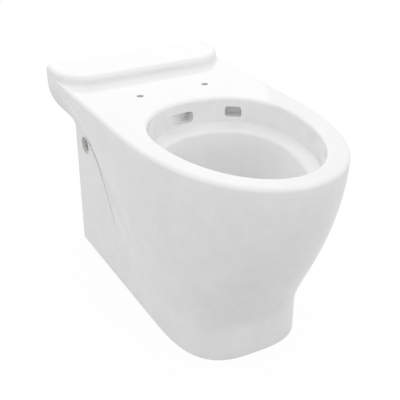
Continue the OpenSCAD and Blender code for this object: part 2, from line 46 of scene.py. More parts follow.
# The camera, where the outlines of deck, opening and foot lie as they do in the photograph
view = {
    "place": (-0.7103, -1.2763, 1.0235),
    "azimuth": -28.789,    # degrees from +Y
    "elevation": 28.012,   # degrees above the floor
    "lens": 69.99,         # mm
    "sensor": 36,          # mm
}


def newObject(name, data):    # an object that holds the data, put in the scene
    made = bpy.data.objects.new(name, data)
    bpy.context.scene.collection.objects.link(made)
    return made


def makeCamera():
    data = bpy.data.cameras.new("camera")
    data.lens = view["lens"]
    data.sensor_width = view["sensor"]
    camera = newObject("camera", data)
    camera.location = view["place"]
    camera.rotation_euler = (np.radians(90 - view["elevation"]), 0, np.radians(view["azimuth"]))
    bpy.context.scene.camera = camera


makeCamera()
print("camera placed")


class Wire:    # one output socket, so that shader maths reads as a plain expression
    def __init__(self, shader, socket):
        self.shader = shader
        self.socket = socket

    def __add__(self, other):
        return self.shader.maths("ADD", self, other)

    def __radd__(self, other):
        return self.shader.maths("ADD", other, self)

    def __sub__(self, other):
        return self.shader.maths("SUBTRACT", self, other)

    def __rsub__(self, other):
        return self.shader.maths("SUBTRACT", other, self)

    def __mul__(self, other):
        return self.shader.maths("MULTIPLY", self, other)

    def __rmul__(self, other):
        return self.shader.maths("MULTIPLY", other, self)


class Shader:    # the nodes of a material or of the world
    def __init__(self, owner):
        owner.use_nodes = True
        self.tree = owner.node_tree
        self.tree.nodes.clear()

    def node(self, kind, settings=None, sockets=None, out=0):
        made = self.tree.nodes.new(kind)
        for key, value in (settings or {}).items():
            if key == "stops":
                for stop, (place, colour) in zip(made.color_ramp.elements, value):
                    stop.position = place
                    stop.color = colour
            else:
                setattr(made, key, value)
        for key, value in (sockets or {}).items():
            if isinstance(value, Wire):
                self.tree.links.new(value.socket, made.inputs[key])
            else:
                made.inputs[key].default_value = value
        return Wire(self, made.outputs[out]) if len(made.outputs) else None

    def maths(self, operation, first, second):
        return self.node("ShaderNodeMath", {"operation": operation}, {0: first, 1: second})

    def noise(self, place, scale, detail, rough=0.6):
        sockets = {"Vector": place, "Scale": scale, "Detail": detail, "Roughness": rough}
        return self.node("ShaderNodeTexNoise", {}, sockets)

    def ramp(self, value, ends, dark, light):
        stops = [(ends[0], (*dark, 1)), (ends[1], (*light, 1))]
        return self.node("ShaderNodeValToRGB", {"stops": stops}, {"Fac": value})

    def bump(self, height, strength, distance):
        sockets = {"Height": height, "Strength": strength, "Distance": distance}
        return self.node("ShaderNodeBump", {}, sockets)

    def ray(self, kind):
        return self.node("ShaderNodeLightPath", out=kind)

    def mixed(self, share, first, second):
        return self.node("ShaderNodeMixShader", {}, {0: share, 1: first, 2: second})


# A material of one Principled shader, whose sockets come from a function of the shader and of the place
def makeMaterial(name, look):
    material = bpy.data.materials.new(name)
    s = Shader(material)
    shader = s.node("ShaderNodeBsdfPrincipled", {}, look(s, s.node("ShaderNodeTexCoord", out="Object")))
    s.node("ShaderNodeOutputMaterial", {}, {"Surface": shader})
    return material


# White glaze: an even body colour that drifts a little where the glaze pooled or ran thin, a hard gloss
# with faint dull patches, and the slight waviness of a fired surface.
glaze = {
    "thin": (0.872, 0.874, 0.872),
    "full": (0.925, 0.925, 0.920),
    "drift": (0.36, 0.64),   # where the drift reaches either colour
    "cloud": 19.0,           # patches a metre
    "grain": 0.25,           # share of finer patches,
    "grainTimes": 5,         # which are this many times as many
    "calm": 0.35,            # how much of the drift is left where the glaze lay flat in the kiln
    "slope": (0.02, 0.20),   # upward part of the normal, from upright faces to calm ones
    "roughness": 0.04,
    "dull": 0.05,            # how far its dull patches roughen it,
    "dullTimes": 1.7,        # and how many times as many as the clouds they are
    "waves": 55.0,           # a metre
    "waviness": 0.00006,
    "coat": 0.3,
    "coatRoughness": 0.02,
    "refraction": 1.5,
}


def glazeLook(s, place):
    clouds = s.noise(place, glaze["cloud"], 4.0, 0.62)
    fine = s.noise(place, glaze["cloud"] * glaze["grainTimes"], 3.0)
    upward = s.node("ShaderNodeSeparateXYZ", {}, {0: s.node("ShaderNodeNewGeometry", out="Normal")}, "Z")
    upright, calm = glaze["slope"]
    share = s.node("ShaderNodeMapRange", {}, {
        "Value": upward, "From Min": upright, "From Max": calm, "To Min": 1.0, "To Max": glaze["calm"]})
    drift = (clouds * (1 - glaze["grain"]) + fine * glaze["grain"] - 0.5) * share + 0.5
    patches = s.noise(place, glaze["cloud"] * glaze["dullTimes"], 4.0)
    return {
        "Base Color": s.ramp(drift, glaze["drift"], glaze["thin"], glaze["full"]),
        "Roughness": glaze["roughness"] + glaze["dull"] * patches,
        "Normal": s.bump(s.noise(place, glaze["waves"], 2.0, 0.5), 1.0, glaze["waviness"]),
        "IOR": glaze["refraction"],
        "Coat Weight": glaze["coat"],
        "Coat Roughness": glaze["coatRoughness"],
    }


# Bare china: fired clay slip without glaze, matt and a little warmer, with fine specks and a faint grit
bare = {
    "dark": (0.70, 0.685, 0.655),
    "light": (0.82, 0.81, 0.79),
    "drift": (0.35, 0.65),
    "cloud": 9.0,     # patches a metre
    "speck": 900.0,   # specks a metre
    "speckShare": 0.2,
    "roughness": 0.55,
    "patchy": 0.15,   # how far the patches roughen it
    "grit": 420.0,    # a metre
    "gritDepth": 0.0002,
}


def bareLook(s, place):
    clouds = s.noise(place, bare["cloud"], 5.0)
    specks = s.noise(place, bare["speck"], 2.0)
    drift = clouds * (1 - bare["speckShare"]) + specks * bare["speckShare"]
    return {
        "Base Color": s.ramp(drift, bare["drift"], bare["dark"], bare["light"]),
        "Roughness": bare["roughness"] + clouds * bare["patchy"],
        "Normal": s.bump(s.noise(place, bare["grit"], 4.0, 0.65), 0.6, bare["gritDepth"]),
    }


# Seal rubber: black, satin, with a dusty bloom
rubber = {
    "dark": (0.022, 0.022, 0.024),
    "bloom": (0.045, 0.045, 0.048),
    "drift": (0.4, 0.65),
    "cloud": 60.0,     # patches of bloom a metre
    "roughness": 0.5,
    "patchy": 0.2,
    "grain": 1500.0,   # a metre
    "grainDepth": 0.0001,
}


def rubberLook(s, place):
    bloom = s.noise(place, rubber["cloud"], 5.0)
    return {
        "Base Color": s.ramp(bloom, rubber["drift"], rubber["dark"], rubber["bloom"]),
        "Roughness": rubber["roughness"] + bloom * rubber["patchy"],
        "Normal": s.bump(s.noise(place, rubber["grain"], 2.0, 0.5), 0.4, rubber["grainDepth"]),
    }


finishes = [makeMaterial("china_glaze", glazeLook), makeMaterial("china_bare", bareLook),
            makeMaterial("rubber_black", rubberLook)]
glazed, unglazed, rubbery = 0, 1, 2   # places in that list
print("materials made")

weldSize = 2e-6      # points nearer than this are one point
cellShift = 0.3137   # of a cell, so that no round size falls between two cells


# Points in the same cell of a fine grid are one: the first point of each cell, and each point's cell
def weld(points):
    keys = np.round(points / weldSize + cellShift).astype(np.int64)
    _, first, index = np.unique(keys, axis=0, return_index=True, return_inverse=True)
    return first, index.reshape(-1)


# A grid of points made a surface. A face's normal is the cross product of its diagonals, and a point's
# normal is their sum over its faces, so a wide face outweighs the narrow rounds beside it. Rows and
# columns outside the kept ranges count for the normals alone, as do faces marked in the hidden mask.
def surface(points, closed=False, flip=False, rows=None, columns=None, hidden=None, finish=glazed):
    points = np.asarray(points, float)
    count, across = points.shape[:2]
    grid = np.arange(count * across).reshape(count, across)
    if closed:
        grid = np.concatenate([grid, grid[:, :1]], axis=1)
    faces = np.stack([grid[:-1, :-1], grid[:-1, 1:], grid[1:, 1:], grid[1:, :-1]], axis=-1)
    if flip:
        faces = faces[..., ::-1]
    flat = points.reshape(-1, 3)
    area = np.cross(flat[faces[..., 2]] - flat[faces[..., 0]], flat[faces[..., 3]] - flat[faces[..., 1]])
    first, index = weld(flat)
    total = np.zeros((len(first), 3))
    for corner in range(4):
        np.add.at(total, index[faces[..., corner]].ravel(), area.reshape(-1, 3))
    size = np.linalg.norm(total, axis=1, keepdims=True)
    normals = (total / np.maximum(size, 1e-15))[index]
    kept = np.ones(faces.shape[:2], bool)
    if rows:
        kept[:rows[0]] = False
        kept[rows[1]:] = False
    if columns:
        kept[:, :columns[0]] = False
        kept[:, columns[1]:] = False
    if hidden is not None:
        kept &= ~hidden
    return {"points": flat, "normals": normals, "faces": faces[kept], "finish": finish}


# Even-odd rule: a point is inside where a level ray from it crosses the loop an odd number of times
def insideLoop(points, loop):
    a, b = loop, np.roll(loop, -1, axis=0)
    px, py = points[:, :1], points[:, 1:]
    spans = (a[:, 1] > py) != (b[:, 1] > py)
    climb = np.where(a[:, 1] == b[:, 1], 1.0, b[:, 1] - a[:, 1])
    crossing = a[:, 0] + (py - a[:, 1]) / climb * (b[:, 0] - a[:, 0])
    return ((spans & (px < crossing)).sum(axis=1) % 2) == 1


# A loop without the points that lie on the one before them
def cleanLoop(loop):
    gap = np.linalg.norm(loop - np.roll(loop, 1, axis=0), axis=1)
    return loop[gap > 2 * weldSize]


# A flat sheet inside the first closed outline and outside the others, as Delaunay triangles. place turns
# points of the outlines' plane into points in space, and facing is the sheet's normal.
def flatSheet(loops, place, facing, finish=glazed):
    loops = [cleanLoop(np.asarray(loop, float)) for loop in loops]
    spots = np.concatenate(loops)
    edges = []
    start = 0
    for loop in loops:
        ring = np.arange(start, start + len(loop))
        edges += np.stack([ring, np.roll(ring, -1)], axis=1).tolist()
        start += len(loop)
    inMillimetres = [Vector(p) for p in spots * 1000]
    found = delaunay_2d_cdt(inMillimetres, edges, [], 0, 1e-7, True)
    flat = spots[[origin[0] for origin in found[3]]]
    triangles = np.array([f for f in found[2] if len(f) == 3])
    middle = flat[triangles].mean(axis=1)
    kept = insideLoop(middle, loops[0])
    for loop in loops[1:]:
        kept &= ~insideLoop(middle, loop)
    triangles = triangles[kept]
    points = place(flat)
    facing = np.asarray(facing, float)
    normal = np.cross(points[triangles[:, 1]] - points[triangles[:, 0]],
                      points[triangles[:, 2]] - points[triangles[:, 0]])
    back = normal @ facing < 0
    triangles[back] = triangles[back][:, ::-1]
    faces = np.concatenate([triangles, triangles[:, 2:]], axis=1)
    normals = np.repeat(facing[None], len(points), axis=0)
    return {"points": points, "normals": normals, "faces": faces, "finish": finish}


# Joins surfaces into one piece. Points that meet are one point, and every face corner keeps the normal of
# its own surface, so an edge is crisp where two surfaces meet at an angle and unseen where they flow on.
def makePiece(name, surfaces, replaced):
    start = np.cumsum([0] + [len(s["points"]) for s in surfaces])
    points = np.concatenate([s["points"] for s in surfaces])
    normals = np.concatenate([s["normals"] for s in surfaces])
    faces = np.concatenate([s["faces"] + n for s, n in zip(surfaces, start)])
    finish = np.concatenate([np.full(len(s["faces"]), s["finish"]) for s in surfaces])
    first, index = weld(points)
    corners = index[faces]
    distinct = corners != np.roll(corners, 1, axis=1)
    ordered = np.sort(corners, axis=1)
    different = 1 + (np.diff(ordered, axis=1) > 0).sum(axis=1)
    real = (different >= 3) & (distinct.sum(axis=1) == different)
    distinct &= real[:, None]
    vertex = corners[distinct]
    used, vertex = np.unique(vertex, return_inverse=True)
    sizes = distinct.sum(axis=1)[real]
    mesh = bpy.data.meshes.new(name)
    mesh.vertices.add(len(used))
    mesh.vertices.foreach_set("co", points[first[used]].ravel())
    mesh.loops.add(len(vertex))
    mesh.loops.foreach_set("vertex_index", vertex.ravel())
    mesh.polygons.add(len(sizes))
    mesh.polygons.foreach_set("loop_start", np.concatenate([[0], np.cumsum(sizes)[:-1]]))
    kinds = np.unique(finish)
    mesh.polygons.foreach_set("material_index", np.searchsorted(kinds, finish[real]))
    mesh.polygons.foreach_set("use_smooth", np.ones(len(sizes), bool))
    mesh.update(calc_edges=True)
    if mesh.validate():
        print("  mesh mended:", name)
    mesh.normals_split_custom_set(normals[faces[distinct]])
    for kind in kinds:
        mesh.materials.append(finishes[kind])
    piece = newObject(name, mesh)
    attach(piece, "root")
    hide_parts(*replaced)
    print("  made", name, len(sizes), "faces")


# Angles of a quarter turn, in even steps
def quarter(steps):
    return np.radians(np.linspace(0, 90, steps + 1))


# An edge's round over a turn: what it takes off one side, from none to the radius, and off the other
def edgeRound(radius, turn):
    return radius * (1 - np.cos(turn)), radius * (1 - np.sin(turn))


def mix(a, b, t):    # a at t = 0, b at t = 1
    return a + (b - a) * t


def ease(t):    # from 0 to 1 with a soft start and end, as 3t^2 - 2t^3
    return t * t * (3 - 2 * t)


# A smooth step: 0 well before the middle and 1 well past it
def rise(y, middle, run):
    return 1 / (1 + np.exp(-(y - middle) / run))


def plateau(y, places, runs):    # rises at the first place and falls at the second
    return rise(y, places[0], runs[0]) * (1 - rise(y, places[1], runs[1]))


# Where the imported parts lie, and the shell's own sizes
deckLow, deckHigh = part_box("rim_deck")
wallY = deckHigh.y
tipY = deckLow.y
halfWidth = deckHigh.x
deckZ = deckHigh.z
joinZ = deckLow.z   # where the skirt meets the deck's edge
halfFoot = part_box("side_panel_right")[1].x
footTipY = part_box("foot_front")[0].y

shell = {
    "thick": 0.010,
    "straight": 0.375,                # length of the straight sides
    "wallEdge": 0.0025,               # radius of the upright edges at the wall
    "deckRound": (2.03, 2.50),        # roundness of the deck's front, across and along
    "footRound": (3.0, 3.75),
    "flareTop": 0.012,                # below the deck, where the skin reaches its outline
    "flare": (1.64, 2.45),            # how quickly the skin widens, in general and at the wall
    "flareFromWall": 0.045,
    "flareRun": 0.015,
    "soft": (0.085, 0.9),             # softness of the bend above the crease: at both ends, and
    "softFromWall": (0.280, 0.030),   # along the sides, between these places
    "softRun": (0.025, 0.012),
    "plinth": 0.068,                  # height of the crease at the front
    "crease": 0.319,                  # and at the wall
    "creaseFromWall": 0.190,
    "creaseRun": 0.039,
    "lip": 0.002,                     # how far the skirt stands proud at the wall
    "lipFromWall": 0.085,
    "lipRun": 0.009,
    "sideSteps": 150,
    "frontSteps": 100,
    "edgeSteps": 5,
    "backSteps": 24,                  # across the wall side of a closed outline
}
thick = shell["thick"]
roundY = wallY - shell["straight"]
creaseMidY = wallY - shell["creaseFromWall"]


# Stations of the outline, from the wall along the right side, round the tip and back along the left.
# Along a side only y changes, and round the front only the angle does.
def shellStations():
    edge = shell["wallEdge"]
    turn = quarter(shell["edgeSteps"])[::-1]
    nearWall = wallY - edge * (1 - np.sin(turn))
    side = np.linspace(wallY - edge, roundY, shell["sideSteps"] + 1)[1:]
    share = np.linspace(0, 1, shell["frontSteps"] + 1)[1:]
    angle = np.pi / 4 * (1 - np.cos(np.pi * share))
    y = np.concatenate([nearWall, side, np.full(len(angle), roundY)])
    t = np.concatenate([np.zeros(len(nearWall) + len(side)), angle])
    hand = np.ones(2 * len(y) - 1)
    hand[len(y):] = -1
    return np.concatenate([y, y[-2::-1]]), np.concatenate([t, t[-2::-1]]), hand


stationY, stationT, hand = shellStations()
stationCos = np.maximum(np.cos(stationT), 0)
stationSin = np.maximum(np.sin(stationT), 0)
lastStation = len(stationY) - 1
edgeEnd = shell["edgeSteps"]             # the right side starts at this station
sideEnd = edgeEnd + shell["sideSteps"]   # and ends at this one
leftSide = lastStation - sideEnd         # and the left one likewise
leftEdge = lastStation - edgeEnd


# A quarter superellipse, inset all round, with straight sides behind it. The sides turn in at the wall
# by the edge's radius, and an inset of the full thickness turns out instead.
def outline(half, length, roundness, inset):
    p, q = roundness
    edge = shell["wallEdge"]
    beyond = np.maximum(stationY - (wallY - edge), 0)
    turnIn = edge - np.sqrt(np.maximum(edge ** 2 - beyond ** 2, 0))
    x = (half - inset) * stationCos ** (2 / p) - turnIn * (1 - 2 * inset / thick)
    y = stationY - (length - inset) * stationSin ** (2 / q)
    return np.stack([x * hand, y], axis=-1)


def deckOutline(inset):
    return outline(halfWidth, roundY - tipY, shell["deckRound"], inset)


def footOutline(inset):
    return outline(halfFoot, roundY - footTipY, shell["footRound"], inset)


# The crease climbs in one smooth step from the plinth's height in front to its own height at the wall
def creaseZ(y):
    return mix(shell["plinth"], shell["crease"], rise(y, creaseMidY, shell["creaseRun"]))


def creaseSlope(y):    # its derivative along y
    r = rise(y, creaseMidY, shell["creaseRun"])
    return (shell["crease"] - shell["plinth"]) * r * (1 - r) / shell["creaseRun"]


# How much of the way from the foot's outline to the deck's the skin has come at a height: a power curve
# whose start above the crease is softened by an exponential.
def flareShare(y, z):
    low = creaseZ(y)
    t = np.clip((z - low) / (deckZ - shell["flareTop"] - low), 0, 1)
    side = plateau(y, [wallY - d for d in shell["softFromWall"]], shell["softRun"])
    s = mix(*shell["soft"], side)
    start = (t - s * (1 - np.exp(-t / s))) / (1 - s * (1 - np.exp(-1 / s)))
    power = mix(*shell["flare"], rise(y, wallY - shell["flareFromWall"], shell["flareRun"]))
    return 1 - (1 - start) ** power


def lip(y):    # how far the skirt stands proud of the plinth
    return shell["lip"] * rise(y, wallY - shell["lipFromWall"], shell["lipRun"])


# Skin points at heights z, one row for each row of z: the foot's outline blended into the deck's
def skin(z, inset):
    z = np.broadcast_to(z, (np.shape(z)[0], len(stationY)))
    share = flareShare(stationY, z)[..., None]
    flat = footOutline(inset) * (1 - share) + deckOutline(inset) * share
    if inset == 0:
        flat[..., 0] += hand * lip(stationY) * (1 - share[..., 0])
    return atHeight(flat, z)


def atHeight(flat, z):    # points of a plan, lifted to their heights
    shape = np.broadcast_shapes(flat.shape[:-1], np.shape(z))
    flat = np.broadcast_to(flat, (*shape, flat.shape[-1]))
    return np.concatenate([flat, np.broadcast_to(z, shape)[..., None]], axis=-1)


# Closes a row of outline points across the wall side with a straight run
def closeBack(rows):
    share = np.linspace(0, 1, shell["backSteps"] + 1)[1:-1, None]
    return np.concatenate([rows, mix(rows[:, -1:], rows[:, :1], share)], axis=1)


# The opening's outline
mouth = {
    "half": 0.1505,
    "front": 0.242,        # from its widest place forwards
    "rear": 0.153,
    "fromTip": 0.284,
    "round": (2.0, 2.1),   # roundness of its front and its rear
    "edge": 0.007,         # radius of the deck's edge round it
    "turn": 0.016,         # how far the deck turns down into it
    "spacing": 0.0048,     # of the ring's plain columns
    "fineSteps": 7200,     # in which its length is measured
}
mouthY = tipY + mouth["fromTip"]
mouthJoinZ = deckZ - mouth["turn"]


# Radius of an oval in direction th: a superellipse with its own length and roundness at either end
def ovalRadius(th, half, front, rear, roundness):
    length = np.where(np.sin(th) < 0, front, rear)
    n = np.where(np.sin(th) < 0, roundness[0], roundness[1])
    return ((np.abs(np.cos(th)) / half) ** n + (np.abs(np.sin(th)) / length) ** n) ** (-1 / n)


def mouthPoint(th, g):    # a point of the opening's outline, moved outwards by g
    r = ovalRadius(th, mouth["half"] + g, mouth["front"] + g, mouth["rear"] + g, mouth["round"])
    return np.stack([r * np.cos(th), mouthY + r * np.sin(th)], axis=-1)


# The two flush outlets, as pockets in the wall that run for a length along it. The right one is a plain
# pocket, and the rear one a scoop, deepest at its right end.
outlets = {
    "right": {
        "direction": 54.5,        # degrees, round the opening from its right
        "z": deckZ - 0.0325,
        "width": 0.034,
        "height": 0.023,
        "corner": 0.006,
        "depth": 0.028,
    },
    "rear": {
        "x": 0.009,               # its right end
        "z": deckZ - 0.037,
        "width": 0.062,
        "height": 0.024,
        "corner": 0.009,
        "depth": 0.028,
        "fade": 1.3,              # power by which its depth dwindles to the left
        "lowEdge": 0.002,         # radius of its lower edge
        "behind": 0.9,            # from this sine of the direction on
    },
    "edge": 0.0018,               # radius of the pockets' other edges
    "inside": 0.005,              # radius between a pocket's back and its sides
    "insideShare": 0.7,           # but no more than this share of its half height
    "back": 0.004,                # china behind the pockets
    "slot": 2,                    # rows across a pocket's back that open into the duct,
    "across": 8,                  # of so many
    "levelRun": (0.020, 0.030),   # in which the pockets' height changes, after either one
    "clear": 0.002,               # from a pocket to the next plain column
    "turnSteps": 6,
    "flatSteps": 7,
    "fadeSteps": 27,
}


# Columns of the ring: arc lengths from the front, evenly spaced, with extra ones where an outlet's edges
# are. Each column has the pocket's depth, half height and middle height, and a doubled column is a step.
def ringColumns():
    fine = np.radians(np.linspace(-90, 270, mouth["fineSteps"] + 1))
    track = mouthPoint(fine, 0)
    length = np.concatenate([[0], np.cumsum(np.linalg.norm(np.diff(track, axis=0), axis=1))])
    turn = quarter(outlets["turnSteps"])
    away = turn[::-1]
    sunk, out = edgeRound(outlets["edge"], turn)
    right = outlets["right"]
    middle = np.interp(np.radians(right["direction"]), fine, length)
    w, h, r = right["width"] / 2, right["height"] / 2, right["corner"]
    rim = np.stack([w + out, sunk, 0 * turn + h - r])
    bend = np.stack([w - r + r * np.sin(away), 0 * turn + right["depth"], h - r + r * np.cos(away)])
    half = np.concatenate([rim, bend], axis=1)
    run = np.linspace(-(w - r), w - r, outlets["flatSteps"] + 1)[1:-1]
    flatRun = np.stack([run, 0 * run + right["depth"], 0 * run + h])
    port = np.concatenate([half * [[-1], [1], [1]], flatRun, half[:, ::-1]], axis=1)
    port[0] += middle
    rear = outlets["rear"]
    behind = (fine > np.pi / 4) & (fine < 3 * np.pi / 4)
    start = np.interp(-rear["x"], -track[behind, 0], length[behind])
    w, h, r = rear["width"], rear["height"] / 2, rear["corner"]
    rim = np.stack([start - out, sunk, 0 * turn + h - r])
    run = np.concatenate([r * (1 - np.sin(away)), np.linspace(r, w, outlets["fadeSteps"] + 1)[1:]])
    depth = rear["depth"] * (1 - run / w) ** rear["fade"]
    high = np.concatenate([h - r + r * np.cos(away), np.full(outlets["fadeSteps"], h)])
    scoop = np.concatenate([rim, [start + run, depth, high]], axis=1)
    plain = np.arange(0, length[-1] - mouth["spacing"] / 2, mouth["spacing"])
    for pocket in (scoop, port):
        first, last = pocket[0, [0, -1]]
        plain = plain[(plain < first - outlets["clear"]) | (plain > last + outlets["clear"])]
    base = np.stack([plain, 0 * plain, 0 * plain + h])
    before = base[:, plain < port[0, 0]]
    between = base[:, (plain > port[0, -1]) & (plain < scoop[0, 0])]
    after = base[:, plain > scoop[0, -1]]
    along, depth, half = np.concatenate([before, port, between, scoop, after], axis=1)
    toRear, toRight = outlets["levelRun"]
    share = np.clip((along - middle - toRear) / toRear, 0, 1)
    share *= 1 - np.clip((along - scoop[0, -1]) / toRight, 0, 1)
    return np.interp(along, length, fine), depth, half, mix(right["z"], rear["z"], share)


ringTh, pocketDepth, pocketHalf, pocketZ = ringColumns()
ringCount = len(ringTh)


# Rows of ring points at offsets g and heights z, each one number, one for each row or one for each point
def ringRows(g, z):
    g, z, th = np.broadcast_arrays(g, z, ringTh[None])
    return atHeight(mouthPoint(th, g), z)


def blendRows(a, b, count):    # rows in even steps from a to b, either a number or one value a column
    return mix(a, b, np.linspace(0, 1, count + 1)[:, None])


# A tube round an upright or level axis from radii and places along it. The centre is given in the plane
# square to the axis.
def boreRows(centre, radii, along, axis="z", count=48):
    th = np.linspace(0, 2 * np.pi, count, endpoint=False)
    r = np.asarray(radii)[:, None]
    rows = [centre[0] + r * np.cos(th), centre[1] + r * np.sin(th)]
    rows.insert("xyz".index(axis), np.broadcast_to(np.asarray(along)[:, None], rows[0].shape))
    return np.stack(rows, axis=-1)


# Radii of a hole through a plate and their depths in it, with both its edges rounded
def holeProfile(radius, edge, plate, steps=5):
    depths, wider = edgeRound(edge, quarter(steps))
    radii = radius + wider
    return np.concatenate([radii, radii[::-1]]), np.concatenate([depths, plate - depths[::-1]])


# Angles of a quarter turn, closer together at both ends
def roundSteps(count):
    return np.radians(np.concatenate([[0, 2, 6], np.linspace(12, 78, count - 5), [84, 88, 90]]))


# How far past a surface's edge those rows lie that count for its normals alone
apron, wideApron = 0.003, 0.004

# The seat deck
deck = {
    "plate": 0.012,
    "edge": 0.008,    # radius of its outer edge
    "ledgeDepth": 0.1295,
    "ledgeCorner": 0.075,
    "boltGap": 0.155,
    "boltFromWall": 0.239,
    "boltHole": 0.0075,
    "boltEdge": 0.0006,
    "edgeSteps": 14,
    "sideSteps": 6,
    "turnSteps": 3,   # down into the opening
}
ledgeY = wallY - deck["ledgeDepth"]


# The outer edge's radius dwindles beside the ledge, whose sides are flush with the deck's
def deckEdge(y):
    return deck["edge"] * (1 - np.clip((y - ledgeY) / deck["ledgeCorner"], 0, 1))


# The deck's outline, stepped inwards by a distance that differs from station to station
def steppedOutline(distance):
    p, q = shell["deckRound"]
    x = -distance * stationCos ** (2 / p) * hand
    y = distance * stationSin ** (2 / q)
    return deckOutline(0) + np.stack([x, y], axis=-1)


def makeDeck():
    turn = roundSteps(deck["edgeSteps"])[:, None]
    radius = deckEdge(stationY)
    underZ = deckZ - deck["plate"]
    side = np.concatenate([[joinZ - apron], np.linspace(joinZ, underZ, deck["sideSteps"] + 1)])
    inward, below = edgeRound(radius, turn)
    over = atHeight(steppedOutline(inward), deckZ - below)
    beyond = atHeight(steppedOutline(radius + apron), deckZ)
    outer = closeBack(np.concatenate([skin(side[:, None], 0), over, beyond[None]]))
    last = len(outer) - 2
    # inside, stations that the wall's thickness swallows collapse to the first one that it leaves
    inside = skin(np.array([[joinZ], [underZ]]), thick)
    first = np.argmax(inside[0, :, 1] < wallY - thick)
    inside[:, :first] = inside[:, first:first + 1]
    inside[:, len(stationY) - first:] = inside[:, len(stationY) - first - 1:len(stationY) - first]
    inside[..., 1] = np.minimum(inside[..., 1], wallY - thick)
    inside = closeBack(inside)
    a = np.radians(np.linspace(90, 180, deck["edgeSteps"] + 1))[:, None]
    r = mouth["edge"]
    inner = np.concatenate([ringRows(r + wideApron, deckZ),
                            ringRows(r + r * np.cos(a), deckZ - r + r * np.sin(a)),
                            ringRows(0, blendRows(deckZ - r, mouthJoinZ, deck["turnSteps"])[1:])])
    backOfTurn = ringRows(thick, np.array([[mouthJoinZ], [underZ]]))
    surfaces = [
        surface(outer, closed=True, flip=True, rows=(1, last)),
        surface(np.stack([outer[1], inside[0]]), closed=True, finish=unglazed),
        surface(inside, closed=True, finish=unglazed),
        surface(inner, closed=True, rows=(1, len(inner))),
        surface(np.stack([inner[-1], backOfTurn[0]]), closed=True, finish=unglazed),
        surface(backOfTurn, closed=True, finish=unglazed),
    ]
    radii, depths = holeProfile(deck["boltHole"], deck["boltEdge"], deck["plate"])
    boltY = wallY - deck["boltFromWall"]
    holes = [boreRows((sign * deck["boltGap"] / 2, boltY), radii, deckZ - depths) for sign in (-1, 1)]
    # The bolt bores are bare china, darker than the glaze: partly the unglazed bore, partly painted shade
    # that darkens the holes
    surfaces += [surface(tube, closed=True, finish=unglazed) for tube in holes]
    top = [outer[last, :, :2], inner[1, :, :2]] + [tube[0, :, :2] for tube in holes]
    surfaces.append(flatSheet(top, lambda p: atHeight(p, deckZ), (0, 0, 1)))
    under = [inside[1, :, :2], backOfTurn[1, :, :2]] + [tube[-1, :, :2] for tube in holes]
    surfaces.append(flatSheet(under, lambda p: atHeight(p, underZ), (0, 0, -1), unglazed))
    makePiece("seat_deck_glazed", surfaces, ["rim_deck"])


makeDeck()

# The rear ledge
ledge = {
    "height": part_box("rear_ledge")[1].z - deckZ,
    "edge": 0.010,       # radius of its top edge
    "backEdge": 0.003,
    "backRun": 0.020,    # from the wall, where the back's edge takes over
    "cove": 0.004,       # radius of the hollow at its foot
    "coveFrom": 0.004,   # where the hollow starts to fade, behind the front
    "coveRun": 0.046,
    "sunk": 0.0002,      # how far the hollow starts below the deck's face
    "edgeSteps": 14,
    "sideSteps": 13,
    "cornerSteps": 40,
    "frontSteps": 12,
}


# Stations of the ledge's outline as x, y and the normal: from the wall along the right side, round a
# quarter turn and across the front, and back along the left
def ledgeStations():
    edge, r = shell["wallEdge"], deck["ledgeCorner"]
    turn = quarter(shell["edgeSteps"])[::-1]
    side = np.linspace(wallY - edge, ledgeY + r, ledge["sideSteps"] + 1)[1:]
    bend = quarter(ledge["cornerSteps"])[1:]
    edgeIn, edgeBack = edgeRound(edge, turn)
    bendIn, bendBack = edgeRound(r, bend)
    front = np.linspace(halfWidth - r, 0, ledge["frontSteps"] + 1)[1:]
    still = np.zeros(len(side))
    y = np.concatenate([wallY - edgeBack, side, ledgeY + bendBack, 0 * front + ledgeY])
    x = np.concatenate([halfWidth - edgeIn, still + halfWidth, halfWidth - bendIn, front])
    nx = np.concatenate([0 * turn + 1, still + 1, np.cos(bend), 0 * front])
    ny = np.concatenate([0 * turn, still, np.sin(bend), 0 * front + 1])
    return [np.concatenate([v, sign * v[-2::-1]]) for v, sign in ((x, -1), (y, 1), (nx, -1), (ny, 1))]


def makeLedge():
    x, y, nx, ny = ledgeStations()

    def plan(inset):
        return np.stack([x - nx * inset, y + ny * inset], axis=-1)

    top = deckZ + ledge["height"]
    low = deckZ - ledge["sunk"]
    r = ledge["edge"]
    share = np.clip((y - ledgeY - ledge["coveFrom"]) / ledge["coveRun"], 0, 1)
    cove = ledge["cove"] * (1 - ease(share))
    turn = roundSteps(ledge["edgeSteps"])
    a = turn[:, None]
    rising, spread = edgeRound(cove, a)
    inward, below = edgeRound(r, a)
    rows = closeBack(np.concatenate([
        atHeight(plan(-cove - apron), low)[None],
        atHeight(plan(-spread), deckZ + rising - ledge["sunk"] * np.cos(a)),
        atHeight(plan(inward), top - below),
        atHeight(plan(r + wideApron), top)[None],
    ]))
    softer = ledge["backEdge"] * (1 - np.cos(np.concatenate([np.zeros(len(turn) + 1), turn, turn[-1:]])))
    lean = np.clip((rows[..., 1] - wallY) / ledge["backRun"] + 1, 0, 1)
    rows[..., 1] -= softer[:, None] * lean
    last = len(rows) - 2
    surfaces = [
        surface(rows, closed=True, flip=True, rows=(1, last)),
        flatSheet([rows[last, :, :2]], lambda p: atHeight(p, top), (0, 0, 1)),
        flatSheet([rows[1, :, :2]], lambda p: atHeight(p, low), (0, 0, -1), unglazed),
    ]
    makePiece("rear_ledge_glazed", surfaces, ["rear_ledge"])


makeLedge()

